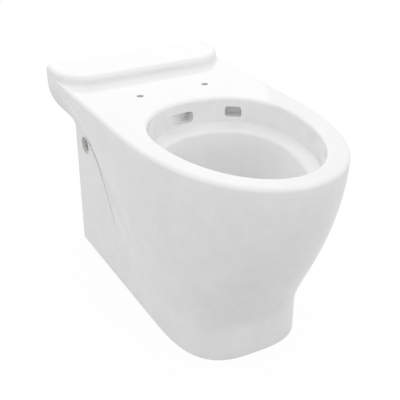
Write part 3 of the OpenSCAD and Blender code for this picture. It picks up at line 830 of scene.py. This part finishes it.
# The bowl, from the flush wall down to the sump
bowl = {
    "shelfZ": deckZ - 0.057,
    "shelfWidth": 0.026,
    "shelfFall": 0.008,
    "shelfUnder": 0.006,              # china under the shelf's outer side
    "fillet": 0.005,
    "filletEnd": 67.5,                # degrees of the fillet's turn
    "wallFoot": 0.003,                # the wall's joint, above the shelf
    "edge": 0.0060,                   # length of the round at the shelf's inner edge
    "edgeBack": 0.001,                # how far that edge is set back
    "edgeDown": 0.0005,               # and down
    "inset": 0.0285,                  # from the opening's outline to the bowl's
    "narrowing": (1.35, 0.95, 1.5),   # powers for its half width, its front and its rear
    "bowlTop": 0.379,
    "sumpTop": 0.130,
    "sumpFromWall": 0.400,            # its middle
    "sumpRadius": 0.046,
    "sumpWall": 0.0075,
    "levels": 44,
    "join": 2,                        # the level that the shelf's edge runs into
    "filletSteps": 5,
    "shelfSteps": 4,
    "edgeSteps": 10,
}
sumpY = wallY - bowl["sumpFromWall"]
footZ = bowl["shelfZ"] + bowl["fillet"]

# The trap and the spigot
trap = {
    "radius": 0.038,
    "sumpZ": 0.076,
    "bend": 0.052,
    "foot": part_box("sump")[1].y,   # where the trapway starts
    "weirZ": 0.200,
    "fall": 12.0,                  # degrees, behind the weir
    "exitBend": 0.090,
    "outletZ": 0.185,
    "spigotEnd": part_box("outlet_spigot")[1].y,
    "spigotRadius": 0.051,
    "spigotEdge": 0.004,
    "neck": 0.012,
    "shoulder": 0.006,
    "steps": (18, 20, 6, 6),       # of the two bends, the way over, the exit, the spigot
    "boreSteps": 7,
}


# Corners of a run of points are rounded by quadratic curves that start a set distance from each corner
def softenRow(before, corner, after, reach, steps):
    toBefore = before - corner
    toAfter = after - corner
    start = corner + toBefore * reach / np.linalg.norm(toBefore, axis=-1, keepdims=True)
    end = corner + toAfter * reach / np.linalg.norm(toAfter, axis=-1, keepdims=True)
    t = np.linspace(0, 1, steps + 1)[:, None, None]
    return (1 - t) ** 2 * start + 2 * t * (1 - t) * corner + t ** 2 * end


# Depth share k is 0 at the shelf and 1 at the sump: each half axis of the oval follows its own power of k
def bowlRows(k, g):
    k = k[:, None]
    sides, fore, aft = bowl["narrowing"]
    inset, sump = bowl["inset"], bowl["sumpRadius"]
    half = mix(mouth["half"] - inset, sump, k ** sides)
    front = mix(mouthY - mouth["front"] + inset, sumpY - sump, k ** fore)
    rear = mix(mouthY + mouth["rear"] - inset, sumpY + sump, k ** aft)
    centre = mix(mouthY, sumpY, k)
    rearRound = mix(mouth["round"][1], 2, k)
    r = ovalRadius(ringTh, half + g, centre - front + g, rear - centre + g, (mouth["round"][0], rearRound))
    z = mix(bowl["bowlTop"], bowl["sumpTop"], k)
    return atHeight(np.stack([r * np.cos(ringTh), centre + r * np.sin(ringTh)], axis=-1), z)


# Centre line of the water way as y, z and heading: a bend under the bowl, along, up, over and out
def trapLine():
    bendSteps, overSteps, exitSteps, _ = trap["steps"]
    drop, r, e = bowl["sumpTop"] - trap["sumpZ"], trap["bend"], trap["exitBend"]
    a = quarter(bendSteps)
    dip = np.stack([sumpY + drop * (1 - np.cos(a)), bowl["sumpTop"] - drop * np.sin(a), a - np.pi / 2])
    up = np.stack([trap["foot"] + r * np.sin(a), trap["sumpZ"] + r * (1 - np.cos(a)), a])
    weirY = trap["foot"] + 2 * r
    weirCentre = trap["weirZ"] - r
    fall = np.radians(trap["fall"])
    a = np.linspace(np.pi / 2, -fall, overSteps + 1)
    over = np.stack([weirY - r * np.sin(a), weirCentre + r * np.cos(a), a])
    startZ = weirCentre + r * np.cos(fall)
    startY = weirY + r * np.sin(fall)
    length = (startZ - trap["outletZ"] - e * (1 - np.cos(fall))) / np.sin(fall)
    exitY = startY + length * np.cos(fall) + e * np.sin(fall)
    a = np.linspace(-fall, 0, exitSteps + 1)
    level = np.stack([exitY + e * np.sin(a), trap["outletZ"] + e * (1 - np.cos(a)), a])
    return dip, np.concatenate([up, over, level], axis=1), exitY


# Rings round a centre line: radius times (cos th, sin th) in the plane square to the heading
def tubeRows(line, radius):
    y, z, a = (v[:, None] for v in line)
    r = np.broadcast_to(np.asarray(radius, float).reshape(-1, 1), (line.shape[1], 1))
    u, v = r * np.cos(ringTh), r * np.sin(ringTh)
    return np.stack([u, y - v * np.sin(a), z + v * np.cos(a)], axis=-1)


def levelLine(y):    # a straight stretch of that centre line, at the outlet's height
    return np.stack([y, 0 * y + trap["outletZ"], 0 * y])


# The wall's rows, counted in steps
wall = {
    "head": 4,    # above the pockets
    "side": 3,    # along a pocket's upper or lower side
    "round": 5,   # round an edge
    "tail": 3,    # below the pockets
    "back": 3,    # on its back, above the pockets and below
    "bulge": 7,   # columns by which the bulge behind a pocket is wider
}
pocketTop = pocketZ + pocketHalf
pocketLow = pocketZ - pocketHalf
pocketOpen = pocketDepth >= thick
openFaces = pocketOpen & np.roll(pocketOpen, -1)   # those between two open columns


# Half of a pocket, down from above it: its rounded rim, its upper side and the round at its back
def pocketRows(edge, inside):
    soft = np.minimum(edge, pocketDepth)
    corner = np.clip(np.minimum(inside, pocketDepth - soft), 0, pocketHalf * outlets["insideShare"])
    a = quarter(wall["round"])[:, None]
    sunk, above = edgeRound(soft, a)
    g = [sunk, blendRows(soft, pocketDepth - corner, wall["side"])[1:],
         pocketDepth - corner + corner * np.sin(a)[1:]]
    down = [-above, np.zeros((wall["side"], ringCount)), corner * (1 - np.cos(a))[1:]]
    return np.concatenate(g), np.concatenate(down)


# The wall's face: down to the pockets, into them, down their backs, out below and down to the fillet.
# Also a mask of the faces left out for the slots, and the heights of the rows across the backs.
def wallFace():
    still = 0 * pocketTop
    topG, down = pocketRows(outlets["edge"], np.where(pocketOpen, 0, outlets["inside"]))
    topRows = pocketTop - down
    head = blendRows(mouthJoinZ + still, topRows[0], wall["head"])
    rear = outlets["rear"]
    lowEdge = np.where(np.sin(ringTh) > rear["behind"], rear["lowEdge"], outlets["edge"])
    lowG, up = pocketRows(lowEdge, outlets["inside"])
    lowRows = pocketLow + up
    lowRows += np.maximum(footZ - lowRows[0], 0)   # a pocket starts no lower than the fillet
    back = blendRows(topRows[-1], lowRows[-1], outlets["across"])[1:-1]
    tail = blendRows(lowRows[0], footZ + still, wall["tail"])[1:]
    g = np.concatenate([0 * head, topG, 0 * back + pocketDepth, lowG[::-1], 0 * tail])
    rows = ringRows(g, np.concatenate([head, topRows, back, lowRows[::-1], tail]))
    hidden = np.zeros((len(rows) - 1, ringCount), bool)
    first = len(head) + len(topG) - 1
    hidden[first:first + outlets["slot"]] = openFaces
    return rows, hidden, back


# The wall's back: the wall's thickness, but a bulge behind the pockets, open where their slots are
def wallBackRows(back):
    still = 0 * pocketTop
    above = wall["back"]
    wallFootZ = bowl["shelfZ"] + bowl["wallFoot"]
    z = np.concatenate([blendRows(mouthJoinZ + still, pocketTop, above), back,
                        blendRows(pocketLow, wallFootZ + still, above)])
    bulge = range(-wall["bulge"], wall["bulge"] + 1)
    around = np.max([np.roll(pocketDepth, n) for n in bulge], axis=0)
    slotEnd = above + 1 + outlets["slot"]
    g = np.full(z.shape, thick)
    g[above:slotEnd] = np.where(pocketOpen, pocketDepth, np.maximum(around, thick))
    g[slotEnd:above + 1 + outlets["across"]] = np.maximum(around + outlets["back"], thick)
    hidden = np.zeros((len(z) - 1, ringCount), bool)
    hidden[above:above + outlets["slot"]] = openFaces
    return ringRows(g, z), hidden


def filletRows(start, end):    # the round between the wall and the shelf, from one angle to another
    t = np.linspace(start, end, bowl["filletSteps"] + 1)[:, None]
    r = bowl["fillet"]
    return ringRows(-r * (1 - np.cos(t)), footZ - r * np.sin(t))


# Outside of the spigot: a neck, a shoulder, a plain length and a rounded end
def spigotBack(exitY):
    lead = trap["radius"] + thick
    steps, r = trap["steps"][3], trap["spigotRadius"]
    inward, back = edgeRound(trap["spigotEdge"], quarter(steps))
    share = np.linspace(0, 1, steps + 1)[1:]
    neckY = exitY + trap["neck"]
    y = np.concatenate([[exitY, neckY], neckY + trap["shoulder"] * share, trap["spigotEnd"] - back])
    radii = np.concatenate([[lead, lead], mix(lead, r, ease(share)), r - inward])
    return tubeRows(levelLine(y), radii)


# All the faces that the water meets are rows of one sheet, so each piece's face flows into the next one's.
# Every piece is a stretch of that sheet, its own back and a flat joint at either end.
def makeBowlParts():
    wallRows, openRows, back = wallFace()
    r = bowl["fillet"]
    split = np.arcsin((r - bowl["wallFoot"]) / r)   # where the wall stands on the shelf
    upper = filletRows(0, split)[1:]
    lower = filletRows(split, np.radians(bowl["filletEnd"]))
    basin = bowlRows(np.linspace(0, 1, bowl["levels"] + 1), 0)
    edgePoint = ringRows(bowl["edgeBack"] - bowl["shelfWidth"],
                         bowl["shelfZ"] - bowl["shelfFall"] - bowl["edgeDown"])[0]
    edgeRows = softenRow(lower[-1], edgePoint, basin[bowl["join"]], bowl["edge"], bowl["edgeSteps"])
    shelfShare = np.linspace(0, 1, bowl["shelfSteps"] + 1)[1:-1, None, None]
    shelfRows = mix(lower[-1], edgeRows[0], shelfShare)
    dip, rest, exitY = trapLine()
    sumpRadius = np.interp(dip[2], [-np.pi / 2, 0], [bowl["sumpRadius"], trap["radius"]])
    stub = np.array([[trap["foot"]], [trap["sumpZ"]], [0]])
    sumpRows = np.concatenate([tubeRows(dip, sumpRadius)[1:], tubeRows(stub, trap["radius"])])
    trapRows = tubeRows(rest, trap["radius"])[1:]
    spigotY = np.linspace(exitY, trap["spigotEnd"], trap["boreSteps"] + 1)[1:]
    spigotRows = tubeRows(levelLine(spigotY), trap["radius"])
    parts = [wallRows, upper, lower, shelfRows, edgeRows, basin[bowl["join"] + 1:],
             sumpRows, trapRows, spigotRows]
    ends = np.cumsum([len(rows) for rows in parts]) - 1
    inner = np.concatenate(parts)
    hidden = np.zeros((len(inner) - 1, ringCount), bool)
    hidden[:len(openRows)] = openRows

    def part(name, start, end, outer, replaced, outerHidden=None):
        makePiece(name, [
            surface(inner, closed=True, rows=(start, end), hidden=hidden),
            surface(outer, closed=True, flip=True, hidden=outerHidden, finish=unglazed),
            surface(np.stack([inner[start], outer[0]]), closed=True, flip=True, finish=unglazed),
            surface(np.stack([inner[end], outer[-1]]), closed=True, finish=unglazed),
        ], replaced)

    wallEnd, shelfEnd, basinEnd, sumpEnd, trapEnd, spigotEnd = ends[[1, 4, 5, 6, 7, 8]]
    wallBack, backHidden = wallBackRows(back)
    basinBack = bowlRows(np.linspace(0, 1, bowl["levels"] + 1), thick)
    shelfBack = np.concatenate([wallBack[-1:], ringRows(thick, bowl["shelfZ"]),
                                ringRows(0, bowl["shelfZ"] - bowl["shelfUnder"]), basinBack[:1]])
    sumpBack = np.concatenate([tubeRows(dip, sumpRadius + bowl["sumpWall"]),
                               tubeRows(stub, trap["radius"] + thick)])
    trapBack = np.concatenate([sumpBack[-1:], tubeRows(rest, trap["radius"] + thick)[1:]])
    walls = ["flush_wall", "right_port_block", "rear_port_block"]
    part("flush_wall_glazed", 0, wallEnd, wallBack, walls, backHidden)
    part("flush_shelf_glazed", wallEnd, shelfEnd, shelfBack, ["flush_shelf"])
    part("bowl_glazed", shelfEnd, basinEnd, basinBack, ["bowl"])
    part("sump_glazed", basinEnd, sumpEnd, sumpBack, ["sump"])
    part("trapway_glazed", sumpEnd, trapEnd, trapBack, ["trapway"])
    part("outlet_spigot_glazed", trapEnd, spigotEnd, spigotBack(exitY), ["outlet_spigot"])


makeBowlParts()

# The groove under the skirt's lower rear edge
groove = {
    "depth": 0.0080,
    "between": (0.158, 0.312),   # places along the side where it fades in and out
    "fadeRun": (0.007, 0.004),
    "least": 0.01,               # a smaller share of its depth is none
    "width": (0.0055, 0.0135),   # at its ends and along its middle
    "wideBetween": (0.208, 0.304),
    "widthRun": (0.008, 0.006),
    "edge": 0.0008,              # radius of its lower edge
    "corner": 0.3,               # radius inside it, as a share of its depth
    "turnSteps": 6,
}


# Share of the groove's full depth at each place along the side
def grooveShare(y):
    share = plateau(y, groove["between"], groove["fadeRun"])
    return np.where(share < groove["least"], 0, share)


def atWall(flat):    # puts points of the wall's plane in space
    return np.stack([flat[:, 0], np.full(len(flat), wallY), flat[:, 1]], axis=-1)


def atSide(x):    # and points of a side's plane
    return lambda flat: np.concatenate([np.full((len(flat), 1), x), flat], axis=1)


# The skirt
skirt = {
    "levels": 60,
    "spread": 1.25,     # power that sets the levels closer together at the crease
    "edge": 0.0009,     # radius of the edge at the crease
    "edgeLip": 0.001,   # a lip as deep as this has the full radius
    "edgeSteps": 5,
}


# Outside, the crease's edge is rounded, and the skin runs from it up to the deck. Inside is the same skin,
# the wall's thickness further in.
def makeSkirt():
    low = creaseZ(stationY)
    steep = np.sqrt(1 + creaseSlope(stationY) ** 2)
    edge = skirt["edge"] * np.clip(lip(stationY) / skirt["edgeLip"] + grooveShare(stationY), 0, 1)
    edge = np.where(stationT > 0, 0, edge)
    a = quarter(skirt["edgeSteps"])[:, None]
    roundZ = low + edge * steep * (1 - np.cos(a))
    rounded = skin(roundZ, 0)
    rounded[..., 0] -= hand * edge * (1 - np.sin(a))
    start = low + edge * steep
    share = np.linspace(0, 1, skirt["levels"] + 1)[1:, None] ** skirt["spread"]
    levels = mix(start, joinZ, share)
    outer = np.concatenate([rounded, skin(levels, 0), skin([[joinZ + apron]], 0)])
    kept = len(outer) - 2
    inner = skin(np.concatenate([roundZ, levels]), thick)
    surfaces = [
        surface(outer, flip=True, rows=(0, kept)),
        surface(inner, finish=unglazed),
        surface(np.stack([outer[kept], inner[-1]]), flip=True, finish=unglazed),
        surface(np.stack([outer[0], inner[0]])),
    ]
    for column in (0, -1):
        loop = np.concatenate([outer[:kept + 1, column], inner[::-1, column]])
        surfaces.append(flatSheet([loop[:, [0, 2]]], atWall, (0, 1, 0), unglazed))
    makePiece("skirt_glazed", surfaces, ["skirt_left", "skirt_right"])


makeSkirt()

# The plinth: the upright shell under the crease
plinth = {
    "band": 0.040,             # the even strip along the floor
    "footEdge": 0.005,         # radius of the edge at the floor
    "innerEdge": 0.002,
    "first": (0.006, 0.008),   # first rows above those two edges, inside and outside
    "footSteps": (4, 8),       # steps of the two rounds
    "rows": 10,
    "hole": 0.021,
    "holeEdge": 0.0012,
    "holeFromWall": 0.057,
    "holeZ": 0.279,
}


# The strip along the floor: down inside, round both edges of the foot, and up outside
def footStrip():
    band, r, s = plinth["band"], plinth["footEdge"], plinth["innerEdge"]
    innerSteps, outerSteps = plinth["footSteps"]
    firstIn, firstOut = plinth["first"]
    down, shrink = edgeRound(s, quarter(innerSteps)[::-1])
    up, draw = edgeRound(r, quarter(outerSteps))
    inset = np.concatenate([[thick, thick], thick - shrink, draw, [0, 0]])
    z = np.concatenate([[band, s + firstIn], down, up, [r + firstOut, band]])
    return np.stack([atHeight(footOutline(d), h) for d, h in zip(inset, z)])


# Rows across the groove, square to the crease: down its back, round its corner and up its rounded edge
def grooveRows():
    share = grooveShare(stationY) * (stationT == 0)
    width = mix(*groove["width"], plateau(stationY, groove["wideBetween"], groove["widthRun"]))
    width, depth, soft = width * share, groove["depth"] * share, groove["edge"] * share
    a = quarter(groove["turnSteps"])[:, None]
    shallower, inner = edgeRound(groove["corner"] * depth, a)
    beyond, edge = edgeRound(soft, a)
    across = np.concatenate([0 * width[None], width[None] / 2, width - inner, width + beyond])
    down = np.concatenate([depth[None], depth[None], depth - shallower, edge])
    slope = creaseSlope(stationY)
    steep = np.sqrt(1 + slope ** 2)
    return np.stack([footOutline(0)[:, 0] - hand * down, stationY + across * slope / steep,
                     creaseZ(stationY) - across / steep], axis=-1)


def makePlinth():
    foot = footStrip()
    upright = blendRows(plinth["band"], creaseZ(stationY), plinth["rows"])
    outer = atHeight(footOutline(0), upright)
    inner = atHeight(footOutline(thick), upright)
    surfaces = [surface(foot, flip=True)]
    for columns in ((sideEnd, leftSide), (0, edgeEnd), (leftEdge, lastStation)):
        surfaces.append(surface(outer, flip=True, columns=columns))
        surfaces.append(surface(inner, finish=unglazed, columns=columns))
    strip = grooveRows()
    crown = np.stack([outer[-1], inner[-1]])
    for start, end in ((edgeEnd, sideEnd), (leftSide, leftEdge)):
        surfaces.append(surface(strip, columns=(start, end)))
        crown[0, start:end + 1] = strip[0, start:end + 1]
    surfaces.append(surface(crown, flip=True))
    # the flat sides, between the floor strip, the wall's edge and the groove, with their access holes
    radii, depths = holeProfile(plinth["hole"], plinth["holeEdge"], thick)
    centre = (wallY - plinth["holeFromWall"], plinth["holeZ"])
    for sign, first, last in ((1, edgeEnd, sideEnd), (-1, leftEdge, leftSide)):
        run = np.arange(first, last + sign, sign)
        bore = boreRows(centre, radii, sign * (halfFoot - depths), axis="x")
        surfaces.append(surface(bore, closed=True, flip=sign < 0))
        for ring, top, facing, finish in ((bore[0], strip[-1], sign, glazed),
                                          (bore[-1], inner[-1], -sign, unglazed)):
            loop = np.concatenate([outer[0, run], outer[1:, last],
                                   top[run[::-1]][1:], outer[-2:0:-1, first]])
            outlines = [loop[:, 1:], ring[:, 1:]]
            surfaces.append(flatSheet(outlines, atSide(ring[0, 0]), (facing, 0, 0), finish))
    for column in (0, -1):
        loop = np.concatenate([foot[:, column], outer[1:, column], inner[:0:-1, column]])
        surfaces.append(flatSheet([loop[:, [0, 2]]], atWall, (0, 1, 0), unglazed))
    makePiece("plinth_glazed", surfaces, ["side_panel_left", "side_panel_right", "foot_front"])


makePlinth()

# The flush inlet
inlet = {
    "z": 0.390,
    "horn": 0.0375,    # radius of its outside
    "bore": 0.0275,
    "edge": 0.003,
    "edgeSteps": 6,
    "sides": 72,
}
seal = {
    "flange": 0.033,   # radius
    "flangeThick": 0.004,
    "bore": 0.0225,
    "edge": 0.001,
    "edgeSteps": 5,
    "lead": 0.010,     # from its inner end to the first ring past the edge
    "ribs": 4,
    "ribDepth": 0.0018,
    "ribSteps": 80,
}


# A closed profile of radii and distances, turned about the inlet's level axis
def turned(name, radii, along, replaced, finish):
    rows = boreRows((0, inlet["z"]), radii, along, axis="y", count=inlet["sides"])
    makePiece(name, [surface(rows, closed=True, flip=True, finish=finish)], replaced)


# The horn: a plain tube with three rounded edges
def makeHorn():
    low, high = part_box("inlet_horn")
    up, down = edgeRound(inlet["edge"], quarter(inlet["edgeSteps"]))
    bore, out = inlet["bore"], inlet["horn"]
    radii = np.concatenate([[bore], out - down, out - up, bore + down, [bore]])
    along = np.concatenate([[low.y], low.y + up, high.y - down, high.y - up, [low.y]])
    turned("inlet_horn_glazed", radii, along, ["inlet_horn"], unglazed)


# The seal: a sleeve in the horn, a flange on its end, and ribs in its bore as a cosine wave
def makeSeal():
    low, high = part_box("inlet_seal")
    start, end = low.y, high.y
    e, bore, sleeve, flange = seal["edge"], seal["bore"], inlet["bore"], seal["flange"]
    up, down = edgeRound(e, quarter(seal["edgeSteps"]))
    under = end - seal["flangeThick"]
    share = np.linspace(0, 1, seal["ribSteps"] + 1)[1:-1]
    ribY = end - e + (start + e - end + e) * share
    ribs = bore + seal["ribDepth"] * (0.5 - 0.5 * np.cos(2 * np.pi * seal["ribs"] * share))
    radii = np.concatenate([sleeve - down, [sleeve, sleeve], flange - down, flange - up,
                            bore + down, ribs, [bore, bore + e, sleeve - e]])
    along = np.concatenate([start + up, [start + seal["lead"], under], under + up, end - down,
                            end - up, ribY, [start + e, start, start]])
    turned("inlet_seal_ribbed", radii, along, ["inlet_seal"], rubbery)


makeHorn()
makeSeal()

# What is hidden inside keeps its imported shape, with its edges softened by these widths
hiddenParts = {
    "flush_chamber": 0.002,
    "jet_duct_left": 0.001,
    "jet_duct_right": 0.001,
    "foot_ring": 0.002,
    "rear_tie": 0.003,
    "outlet_bridge": 0.002,
    "web_left": 0.002,
    "web_right": 0.002,
    "web_front": 0.002,
    "hole_pad_left": 0.0015,
    "hole_pad_right": 0.0015,
}
cast = {
    "weld": 1e-6,
    "flatAngle": np.radians(1),   # faces that turn less than this become one
    "sharpAngle": np.radians(30),
    "segments": 3,
}


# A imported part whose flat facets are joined, with a narrow bevel on every sharp edge
def softened(node, width):
    mesh = nodes[node].data.copy()
    mesh.name = node + "_cast"
    edit = bmesh.new()
    edit.from_mesh(mesh)
    bmesh.ops.remove_doubles(edit, verts=edit.verts, dist=cast["weld"])
    bmesh.ops.dissolve_limit(edit, angle_limit=cast["flatAngle"], verts=edit.verts, edges=edit.edges)
    edit.to_mesh(mesh)
    edit.free()
    mesh.polygons.foreach_set("use_smooth", np.ones(len(mesh.polygons), bool))
    mesh.set_sharp_from_angle(angle=cast["sharpAngle"])
    mesh.materials.clear()
    mesh.materials.append(finishes[glazed if "duct" in node else unglazed])
    piece = newObject(mesh.name, mesh)
    bevel = piece.modifiers.new("soft edges", "BEVEL")
    bevel.width = width
    bevel.segments = cast["segments"]
    bevel.limit_method = "ANGLE"
    bevel.angle_limit = cast["sharpAngle"]
    bevel.harden_normals = True
    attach(piece, "root")
    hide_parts(node)


for node, width in hiddenParts.items():
    softened(node, width)
print("hidden parts softened:", len(hiddenParts))

# The floor, the light and the background
white = (1, 1, 1, 1)
studio = {
    "horizon": 0.74,                       # brightness of the room for matt surfaces, level
    "zenith": 1.06,                        # and overhead
    "skySeen": 1.0,                        # and as seen in the glaze and behind the object
    "floorHalf": 8.0,
    "floorGap": 0.0005,                    # between the floor and the foot
    "floorLit": (0.55, 0.55, 0.55, 1),     # how much light the floor sends back
    "floorShadow": 0.06,                   # share of the floor's own shading that the camera sees
    "floorShine": (0.80, 0.80, 0.80, 1),   # the floor as seen in the glaze
    "lamps": {                             # place, aim, size and power
        "top": ((0.5, 2.1, 2.0), (0, 0, 0.4), 2.2, 3.5),
        "left": ((-3.0, 0.3, 0.6), (0, 0, 0.25), 1.6, 4.0),
        "front": ((1.2, -2.6, 2.6), (0, 0, 0.3), 1.8, 6.5),
    },
}


# The floor: white to the camera, with a share of its own shading, and a little grey in the glaze
def makeFloor():
    material = bpy.data.materials.new("floor_white")
    s = Shader(material)
    lit = s.node("ShaderNodeBsdfDiffuse", {}, {"Color": studio["floorLit"]})
    seen = s.node("ShaderNodeBsdfDiffuse", {}, {"Color": white})
    glow = s.node("ShaderNodeEmission", {}, {"Color": white, "Strength": 1.0})
    shine = s.node("ShaderNodeEmission", {}, {"Color": studio["floorShine"], "Strength": 1.0})
    backdrop = s.mixed(studio["floorShadow"], glow, seen)
    rest = s.mixed(s.ray("Is Glossy Ray"), lit, shine)
    s.node("ShaderNodeOutputMaterial", {}, {"Surface": s.mixed(s.ray("Is Camera Ray"), rest, backdrop)})
    half = studio["floorHalf"]
    mesh = bpy.data.meshes.new("floor")
    corners = [(-half, -half, 0), (half, -half, 0), (half, half, 0), (-half, half, 0)]
    mesh.from_pydata(corners, [], [(0, 1, 2, 3)])
    mesh.materials.append(material)
    floor = newObject("floor", mesh)
    floor.location.z = -studio["floorGap"]


# The room: brighter overhead for matt surfaces, even in the glaze and behind the object
def makeSky():
    world = bpy.data.worlds.new("studio")
    bpy.context.scene.world = world
    s = Shader(world)
    height = s.node("ShaderNodeSeparateXYZ", {}, {0: s.node("ShaderNodeTexCoord", out="Generated")}, "Z")
    level = s.node("ShaderNodeMapRange", {}, {
        "Value": height, "To Min": studio["horizon"], "To Max": studio["zenith"]})
    lit = s.node("ShaderNodeBackground", {}, {"Color": white, "Strength": level})
    shown = s.node("ShaderNodeBackground", {}, {"Color": white, "Strength": studio["skySeen"]})
    seen = s.maths("MAXIMUM", s.ray("Is Camera Ray"), s.ray("Is Glossy Ray"))
    s.node("ShaderNodeOutputWorld", {}, {"Surface": s.mixed(seen, lit, shown)})


def makeLamp(name, place, aim, size, power):
    data = bpy.data.lights.new(name, "AREA")
    data.size = size
    data.energy = power
    lamp = newObject(name, data)
    lamp.location = place
    lamp.rotation_euler = (Vector(aim) - Vector(place)).to_track_quat("-Z", "Y").to_euler()


makeFloor()
makeSky()
for name, lamp in studio["lamps"].items():
    makeLamp(name, *lamp)
bpy.context.scene.view_settings.view_transform = "Standard"
print("studio lit")
